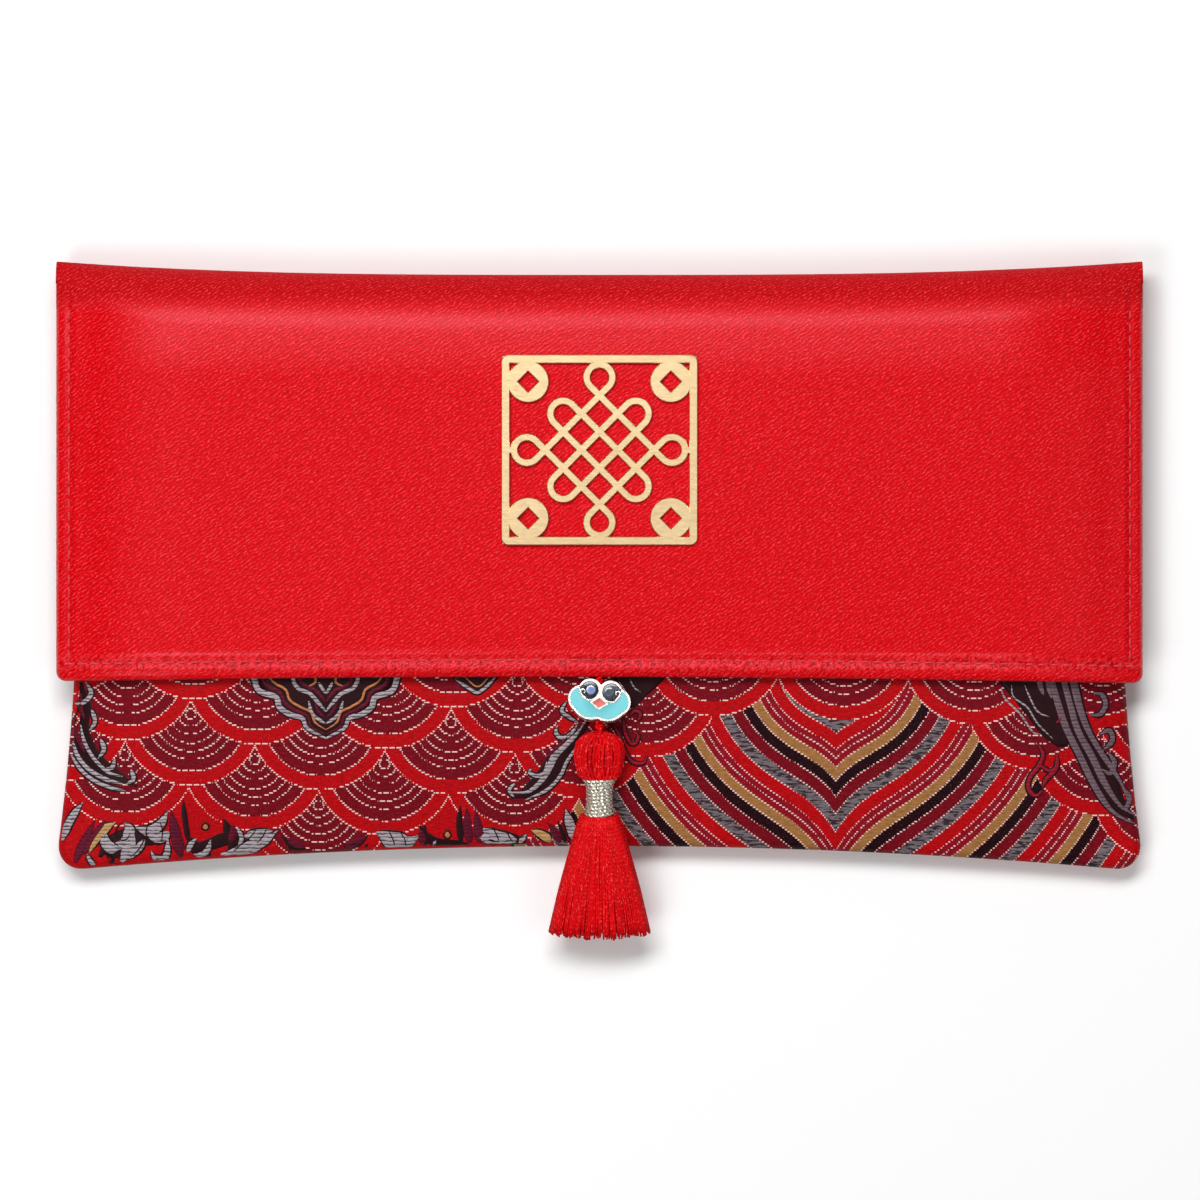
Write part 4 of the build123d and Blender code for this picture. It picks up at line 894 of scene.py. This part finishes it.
# Lining of the flap: the same plain weave, 0.3 mm, glued to the flap's underside over its board, 1.6 mm short
# of the sides and 1.4 mm short of the foot. It goes on into the fold and rides the flap.
SIDE_MARGIN, FOOT_MARGIN = 1.6, 1.4
near = (FLAP_HALF - SIDE_MARGIN) / FLAP_HALF
flat_under[..., 0] *= near
flat_under[..., 1] = np.maximum(flat_under[..., 1], flap_foot(flat_under[..., 0]) + FOOT_MARGIN)
flat_part, bend_part = flat_under[::2, ::4], fold_under[:, ::4] * (near, 1, 1)
under = np.concatenate([flat_part, bend_part])
lower = np.concatenate([flat_part - (0, 0, 0.3), bend_part - (0, 0.22, 0.22)])
lay = np.concatenate([flat_lay[::2, ::4], fold_lay[:, ::4]])
flap_liner = sheet_piece("flap_liner", under + (0, 0, 0.02), lower, lay)
fit(flap_liner, lining, "flap", "lining", "flap_lining")


# Topstitching: red sewing thread, 0.3 mm thick and 2.2 mm a stitch, sewn through the flap 2.4 mm from its sides
# and 3 mm from its foot. Each stitch dips into the satin at both ends and rides the flap.
def tubes_piece(name, paths, sides, tones=None):
    """Round threads along lists of points, each with its own radii, in one mesh."""
    points, faces, tone, lay = [], [], [], []
    turns = [2 * math.pi * corner / sides for corner in range(sides)]
    for number, (path, radii) in enumerate(paths):
        path = np.asarray(path, float)
        radii = np.broadcast_to(radii, (len(path),))
        heading = np.gradient(path, axis=0)
        heading /= np.linalg.norm(heading, axis=1)[:, None]
        up = np.array([0.31, 0.17, 0.93])
        faces += tube_faces(len(path), sides, len(points))
        for point, radius, ahead, gone in zip(path, radii, heading, gone_along(path)):
            up = up - ahead * np.dot(up, ahead)
            up /= np.linalg.norm(up)
            side = np.cross(ahead, up)
            points += [point + radius * (math.cos(turn) * side + math.sin(turn) * up) for turn in turns]
            lay += [(turn, gone, number) for turn in turns]
        tone += [1.0 if tones is None else tones[number]] * (len(path) * sides)
    return make_piece(name, points, faces, lay, tone)


STITCH_RADIUS, STITCH_INSET = 0.16, 2.4
STITCH_ARCH = ((-0.75, -0.12), (-0.45, 0.06), (0, 0.12), (0.45, 0.06), (0.75, -0.12))
stitches = []
edge_x = FLAP_HALF - STITCH_INSET
level = FLAP_TOP - flap_sag(edge_x) - 0.12
for side in (-1, 1):
    for number in range(28):
        place = -16.6 + STITCH_PITCH * number
        stitches.append(([(side * edge_x, place + go, level + lift) for go, lift in STITCH_ARCH], STITCH_RADIUS))
for number in range(-42, 43):
    place = STITCH_PITCH * number
    level, foot = FLAP_TOP - flap_sag(place) - 0.14, flap_foot(place) + STITCH_LINE
    stitches.append(([(place + go, foot, level + lift) for go, lift in STITCH_ARCH], STITCH_RADIUS))
thread_red = plain_material("sewing_thread", (0.66, 0.01, 0.03, 1), 0.42, Sheen_Weight=0.3)
lay = wire(thread_red.node_tree, "Attribute", attribute_name="lay", out=1)
twist = wire(thread_red.node_tree, "TexWave", lay, 2.6, 1.0, 2.0)
feed(thread_red, mixed(twist, (0.5, 0.004, 0.016, 1), (0.78, 0.03, 0.05, 1)),
     height=twist, strength=0.5, distance=0.00005)
fit(tubes_piece("topstitch", stitches, 6), thread_red, "flap", "sewing_thread", "flap_topstitch")


# Plaque: stamped brass with a pale gold finish, finely brushed, 34 by 33 mm and 0.8 mm thick. It is the CAD
# solid with its edges softened, glued on the flap.
def dress(made, *nodes):
    """Gives CAD nodes their material."""
    for node in nodes:
        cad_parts[node].data.materials.clear()
        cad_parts[node].data.materials.append(made)


def place_of(made):
    return wire(made.node_tree, "TexCoord", out=3)


brass = plain_material("plaque_brass", (0.86, 0.70, 0.47, 1), 0.24, 1.0)
place = place_of(brass)
brushed, clouds = noise(place, (900, 5200, 900), 3.0), noise(place, 160.0, 3.0)
feed(brass, mixed(clouds, (0.74, 0.52, 0.27, 1), (0.88, 0.68, 0.40, 1)), brushed * 0.2 + 0.26,
     height=brushed, strength=0.12, distance=0.0001)
dress(brass, "plaque")
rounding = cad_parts["plaque"].modifiers.new("rounding", "BEVEL")
rounding.width, rounding.segments, rounding.limit_method = 0.00012, 2, "ANGLE"

# Hidden stiffening: grey board, 0.8 to 1.2 mm, glued in front, back and flap, with two nickel-plated magnets in
# holes of the boards, and the film of glue under the plaque. All are the CAD solids.
board = plain_material("board", (0.35, 0.30, 0.24, 1), 0.85)
feed(board, mixed(noise(place_of(board), 900.0, 5.0), (0.28, 0.23, 0.17, 1), (0.45, 0.40, 0.33, 1)))
dress(board, "front_stiffener", "back_stiffener", "flap_stiffener")
dress(plain_material("magnet", (0.6, 0.6, 0.62, 1), 0.25, 1.0), "pouch_magnet", "flap_magnet")
dress(plain_material("glue", (0.55, 0.5, 0.42, 1), 0.3), "plaque_glue")

# Charm: a cloud-shaped silver casting, 10.9 by 7 mm, with turquoise, dark and coral enamel melted into its
# cells. Metal and enamel are the CAD solids, threaded on the cord.
silver_cast = plain_material("charm_metal", (0.92, 0.87, 0.82, 1), 0.2, 0.75)
cast = noise(place_of(silver_cast), 2500.0, 3.0)
feed(silver_cast, mixed(cast, (0.86, 0.80, 0.74, 1), (0.97, 0.93, 0.89, 1)), cast * 0.2 + 0.12)
dress(silver_cast, "charm_body")
enamels = {}
for node, first, second in (("charm_turquoise_enamel", (0.03, 0.30, 0.33, 1), (0.17, 0.62, 0.68, 1)),
                            ("charm_blue_enamel", (0.006, 0.007, 0.012, 1), (0.03, 0.035, 0.06, 1)),
                            ("charm_coral_enamel", (0.55, 0.09, 0.08, 1), (0.78, 0.18, 0.16, 1))):
    made = enamels[node] = plain_material(node, first, 0.22, Coat_Weight=0.25)
    place = place_of(made)
    spread, stops = noise(place, 420.0, 2.0), [(0.38, 0), (0.6, 1)]
    # The turquoise is darker teal near the charm's middle and lighter further out: painted shade along the inner
    # wall of its cell.
    if node == "charm_turquoise_enamel":
        painted_shade_distance = wire(place.tree, "VectorMath", times(place, (1, 1, 0)), (0.0001, -0.0240, 0),
                          operation="DISTANCE", out=1)
        spread, stops = spread * 0.0009 + painted_shade_distance, [(0.0026, 0), (0.0035, 1)]
    feed(made, mixed(ramp(spread, stops, True), first, second))
    dress(made, node)

# Charm eyes: domes of glossy black enamel with a lavender and a slate pool on them, black commas below, and
# white cast hooks that curl in from the rim. They lie on the charm's face and ride the flap.
charm_lean, charm_at = math.radians(-7.3), np.array([0, -24.5, 13.445])


def on_charm(right, up, out):
    return charm_at + grid(right, up * math.cos(charm_lean) - out * math.sin(charm_lean),
                           up * math.sin(charm_lean) + out * math.cos(charm_lean))


def pool_piece(name, middles, radius, base, dome):
    """Round pools of enamel, slightly domed, on the charm's face."""
    points, faces = [], []
    turn = np.linspace(0, 2 * math.pi, 33)[:-1]
    section = ((1, base - 0.1), (1, base), (0.9, base + 0.6 * dome), (0.6, base + 0.9 * dome), (0.05, base + dome))
    for mid_x, mid_y in middles:
        faces += tube_faces(len(section), len(turn), len(points))
        for share, up in section:
            wide = radius * share
            points += on_charm(mid_x + wide * np.cos(turn), mid_y + wide * np.sin(turn), up).tolist()
    return make_piece(name, points, faces)


gloss_black = enamels["charm_blue_enamel"]
eyes = pool_piece("charm_eyes", [(-1.72, 1.68), (2.05, 1.28)], radius=1.58, base=1.61, dome=0.06)
fit(eyes, gloss_black, "flap", "blue_enamel", "charm_blue_enamel")
for name, middle_at, light, deep in (
        ("charm_lavender_pool", (-1.50, 1.72), (0.42, 0.50, 0.78, 1), (0.20, 0.26, 0.52, 1)),
        ("charm_slate_pool", (1.72, 1.36), (0.16, 0.19, 0.22, 1), (0.06, 0.075, 0.09, 1))):
    made = plain_material(name, light, 0.12, Coat_Weight=0.6)
    feed(made, mixed(ramp(noise(place_of(made), 900.0, 2.0), [(0.4, 0), (0.6, 1)], True), deep, light))
    fit(pool_piece(name, [middle_at], radius=0.86, base=1.64, dome=0.05), made, "flap", "blue_enamel")
commas, hooks, COMMA_OUT, HOOK_OUT = [], [], 1.56, 1.66
for curl, tip in (
        ([(-2.35, 0.15), (-3.05, 0.85), (-3.30, 1.45), (-3.0, 1.82), (-2.55, 1.72), (-2.45, 1.38), (-2.68, 1.2)],
         [(-2.0, 0.45), (-2.38, 1.1), (-2.6, 2.3), (-3.4, 2.1)]),
        ([(2.75, -0.25), (3.35, 0.45), (3.62, 1.05), (3.35, 1.40), (2.92, 1.30), (2.80, 0.98), (3.02, 0.8)],
         [(2.4, 0.05), (2.72, 0.7), (2.9, 1.85), (3.75, 1.62)])):
    line, gone = smooth_line(curl, 0.08)
    hooks.append((on_charm(*line.T, HOOK_OUT), np.interp(gone / gone[-1], [0, 0.5, 1], [0.24, 0.2, 0.12])))
    line, gone = smooth_line(tip, 0.1)
    commas.append((on_charm(*line.T, COMMA_OUT), np.linspace(0.2, 0.27, len(line))))
fit(tubes_piece("charm_commas", commas, 10), gloss_black, "flap", "blue_enamel")
fit(tubes_piece("charm_hooks", hooks, 10), silver_cast, "flap", "charm_metal")

# Cord: glossy red two-ply cord, 1.3 mm, sewn into the flap's hem and led through the charm to a small overhand
# knot. The cord rides the flap, and the knot is a body of its own.
yarn = group("glossy yarn")
lay, round_it, along = lay_of(yarn)
tone = wire(yarn, "Attribute", attribute_name="tone", out=2)
hair, painted_glints = noise(lay, (1.5, 1.2, 3.7), 2.0), noise(lay, (0.6, 2.1, 7.3), 1.0)
shade = mixed(hair, (0.50, 0.0006, 0.002, 1), (0.82, 0.002, 0.006, 1))
# Pale pink dots along the strands are painted glints of light on the glossy yarn.
shade = mixed(ramp(painted_glints, [(0.61, 0), (0.70, 0.8)], True), shade, (1.0, 0.09, 0.09, 1))
give(Colour=times(shade, tone), Height=(along * 9.0 + round_it * 2.0).op("SINE"), Gloss=hair * 0.2 + 0.28)
red_yarn = plain_material("tassel_yarn", (0.6, 0.004, 0.01, 1), 0.35, Specular_IOR_Level=0.06)
use_group(red_yarn, yarn, strength=0.4, distance=0.00004)
pivot = np.array([0, -29.2, 14.051])


def two_ply(points, ply, turns, phase):
    """Two strands twisted round a path."""
    points = np.asarray(points, float)
    length = np.linspace(0, 1, 16 * max(1, int(turns * 2)) + 1)
    gone = gone_along(points)
    line = np.stack([np.interp(length * gone[-1], gone, points[:, k]) for k in range(3)], -1)
    strands = []
    for half in (0, math.pi):
        turn = 2 * math.pi * turns * length + half + phase
        strands.append((line + grid(np.cos(turn), 0, np.sin(turn)) * ply, ply * 1.05))
    return strands


route = [(0, -16.0, 12.92), (0, -20.6, 12.92), (0, -28.3, 13.95)]
hanging = tubes_piece("hanging_cord_twist", two_ply(route, ply=0.33, turns=6, phase=0.3), 8)
fit(hanging, red_yarn, "flap", "cord", "hanging_cord")
turn = np.linspace(0, 2 * math.pi, 61)
loop = grid(np.sin(turn) + 2 * np.sin(2 * turn), np.cos(turn) - 2 * np.cos(2 * turn), -np.sin(3 * turn)) * 0.2
overhand = tubes_piece("overhand_knot", [(pivot + loop * (1, 1, 1.3), 0.27)], 8)
fit(overhand, red_yarn, "knot", "cord", "bead_knot")

# Tassel: glossy red rayon. Its head is a bunch of yarn folded over the cord, bound by a gold winding, and the
# skirt hangs from it in 430 fine strands round a packed heart. All of it rides the tassel.
ahead, aside = np.array([0, -0.97995, -0.19925]), np.array([1.0, 0, 0])
upward = np.cross(ahead, aside)


def on_tassel(along, right, up):
    along, right, up = np.broadcast_arrays(along, right, up)
    return pivot + along[..., None] * ahead + right[..., None] * aside + up[..., None] * upward


def core_piece(name, rows, shrink):
    """A filled heart of packed yarn, oval in section, with its colour darkened to 0.55 as painted shade deep inside
    the bunch.
    """
    turn = np.linspace(0, 2 * math.pi, 25)[:-1]
    points = np.concatenate([on_tassel(along, wide * shrink * np.cos(turn), deep * shrink * np.sin(turn))
                             for along, wide, deep in rows])
    lay = [(corner * 0.26, ring, 0) for ring in range(len(rows)) for corner in range(len(turn))]
    return make_piece(name, points, tube_faces(len(rows), len(turn)), lay, [0.55] * len(points))


def oval_at(along, rows, *shrink):
    return [np.interp(along, rows[:, 0], rows[:, k + 1]) * shrink[k] for k in (0, 1)]


# Rows of head, neck and skirt: how far from the knot, half the width and half the depth.
head_rows = np.array([(0.9, 1.2, 0.9), (1.4, 2.7, 1.6), (2.6, 3.95, 2.3), (4.6, 4.35, 2.6), (6.4, 4.1, 2.5),
                      (7.9, 3.75, 2.45), (8.7, 3.4, 2.4), (9.1, 2.2, 2.0)])
neck_rows = np.array([(8.4, 2.2, 2.0), (10, 1.85, 1.85), (12.3, 1.75, 1.75), (14.5, 1.85, 1.85),
                      (16.4, 2.2, 2.0)])
skirt_rows = np.array([(15.5, 3.2, 2.2), (16.6, 3.75, 2.35), (22.5, 5.35, 2.6), (29.0, 7.1, 2.85),
                       (37.4, 9.0, 3.0)])
SKIRT_TOP, SKIRT_END, HEAD_STRAND, SKIRT_STRAND = 15.5, 37.0, 0.235, 0.17
draw = random.Random(7)
lead_path = on_tassel(np.linspace(0.6, 3.0, 7), 0, 0)
lead = tubes_piece("tassel_lead", two_ply(lead_path, ply=0.3, turns=2, phase=0.0), 8)
step = np.linspace(0, 1, 22)
along = np.interp(step, np.linspace(0, 1, len(head_rows)), head_rows[:, 0])
strands, tones = [], []
for layer, (count, shrink) in enumerate(((46, 0.80), (64, 0.95))):
    for number in range(count):
        turn = 2 * math.pi * (number + 0.5 * layer) / count + draw.uniform(-0.04, 0.04)
        shrinks = [shrink + draw.uniform(-0.03, 0.05) for _ in range(2)]
        wide, deep = oval_at(along, head_rows, *shrinks)
        drift = turn + (0.28 if number % 2 else -0.2) * np.sin(step * math.pi) + draw.uniform(-0.1, 0.1) * step
        strands.append((on_tassel(along, wide * np.cos(drift), deep * np.sin(drift)), HEAD_STRAND))
        tones.append(draw.uniform(0.75, 1.12))
head = tubes_piece("tassel_head_yarn", strands, 6, tones)
head_core = core_piece("tassel_head_core", head_rows, 0.78)
neck_core = core_piece("tassel_neck_core", neck_rows, 1.0)
strands, tones = [], []
for count, shrink in ((90, 0.72), (130, 0.88), (210, 1.0)):
    for number in range(count):
        turn = 2 * math.pi * (number + draw.uniform(-0.4, 0.4)) / count
        end = SKIRT_END + draw.uniform(-0.9, 0.45) - 0.5 * math.cos(turn) ** 2
        along = np.linspace(SKIRT_TOP, end, 12)
        wide, deep = oval_at(along, skirt_rows, shrink, shrink)
        wave = draw.uniform(-0.025, 0.025) * np.sin((along - SKIRT_TOP) / draw.uniform(3, 7) + draw.uniform(0, 6))
        strands.append((on_tassel(along, wide * np.cos(turn + wave), deep * np.sin(turn + wave)), SKIRT_STRAND))
        tones.append(draw.uniform(0.8, 1.15))
skirt = tubes_piece("tassel_skirt_strands", strands, 5, tones)
skirt_core = core_piece("tassel_skirt_core", [*skirt_rows[:-1], (35.6, 8.5, 2.9)], 0.7)
for piece, slot, *nodes in ((lead, "cord", "tassel_cord"), (head, "tassel_yarn", "tassel_head"),
                            (head_core, "tassel_yarn"), (neck_core, "tassel_yarn", "tassel_neck"),
                            (skirt, "tassel_yarn", "tassel_skirt"), (skirt_core, "tassel_yarn")):
    fit(piece, red_yarn, "tassel", slot, *nodes)

# Winding: pale gold metallic thread, 0.7 mm, wound 11 times round the yarn between head and skirt, with a
# thicker first turn under the head. It rides the tassel.
gilt = plain_material("metallic_thread", (0.80, 0.74, 0.56, 1), 0.24, 0.62)
lay, round_it, along = lay_of(gilt.node_tree)
# The winding's colour swings in patches from dark brown-gold to near white: painted shade and painted glints on the
# metallic thread.
painted_glint_and_shade = ramp(noise(lay, (1.0, 2.4, 1.0), 3.0), [(0.35, 0), (0.62, 1)], True)
plait = (along * 7.0 + round_it * 2.0).op("SINE")
feed(gilt, mixed(painted_glint_and_shade, (0.36, 0.31, 0.18, 1), (1.0, 0.98, 0.90, 1)), height=plait, strength=0.8, distance=0.0001)
WINDING_TURNS, WINDING_TOP, WINDING_LONG, WINDING_RADIUS = 11, 8.95, 6.7, 0.34
step = np.linspace(0, 1, WINDING_TURNS * 28 + 1)
swell = 2.0 + 0.40 * (2 * step - 1) ** 2 + 0.40 * np.exp(-(step / 0.10) ** 2)
turn = 2 * math.pi * WINDING_TURNS * step
path = on_tassel(WINDING_TOP + WINDING_LONG * step, swell * np.cos(turn), np.minimum(swell, 2.2) * np.sin(turn))
winding = tubes_piece("gold_winding", [(path, WINDING_RADIUS)], 8)
fit(winding, gilt, "tassel", "metallic_thread", "tassel_wrap")

# Studio: a plain white table, a large soft lamp from the lower left, a fill from the right, a long strip behind
# the fold that lights the satin, a weak lamp overhead, and the camera straight above.
TABLE_HALF, TABLE_Z = 3, -0.0001
CAMERA_HIGH, FOCUS_HIGH, SEEN_WIDE, SENSOR = 1.2, 0.010, 0.2094, 36.0
floor_mesh = bpy.data.meshes.new("table")
corners = [(TABLE_HALF * a, TABLE_HALF * b, TABLE_Z) for a, b in ((-1, -1), (1, -1), (1, 1), (-1, 1))]
floor_mesh.from_pydata(corners, [], [(0, 1, 2, 3)])
floor = bpy.data.objects.new("table", floor_mesh)
bpy.context.scene.collection.objects.link(floor)
floor.data.materials.append(plain_material("table_top", (0.93, 0.93, 0.93, 1), 0.7))
world = bpy.data.worlds.new("studio")
world.use_nodes = True
world.node_tree.nodes["Background"].inputs[0].default_value = (1, 1, 1, 1)
world.node_tree.nodes["Background"].inputs[1].default_value = 0.15
bpy.context.scene.world = world
for name, place, wide, deep, power in (("key", (-0.50, -0.50, 1.0), 0.5, 0.5, 4.1),
                                       ("fill", (0.6, -0.2, 0.9), 0.6, 0.6, 1.3),
                                       ("strip", (-0.16, 0.48, 0.98), 0.75, 0.32, 9.8),
                                       ("top", (0, -0.1, 1.9), 1.0, 1.0, 0.6)):
    lamp = bpy.data.lights.new(name, "AREA")
    lamp.shape = "RECTANGLE"
    lamp.size, lamp.size_y, lamp.energy = wide, deep, power
    light = bpy.data.objects.new(name, lamp)
    light.location = place
    light.rotation_euler = (-Vector(place)).to_track_quat("-Z", "Y").to_euler()
    bpy.context.scene.collection.objects.link(light)
bpy.context.scene.view_settings.view_transform = "Standard"
camera_data = bpy.data.cameras.new("camera")
camera = bpy.data.objects.new("camera", camera_data)
camera.location = (0.00009, -0.00698, CAMERA_HIGH)
camera_data.sensor_width = SENSOR
camera_data.lens = SENSOR * (CAMERA_HIGH - FOCUS_HIGH) / SEEN_WIDE
bpy.context.scene.collection.objects.link(camera)
bpy.context.scene.camera = camera
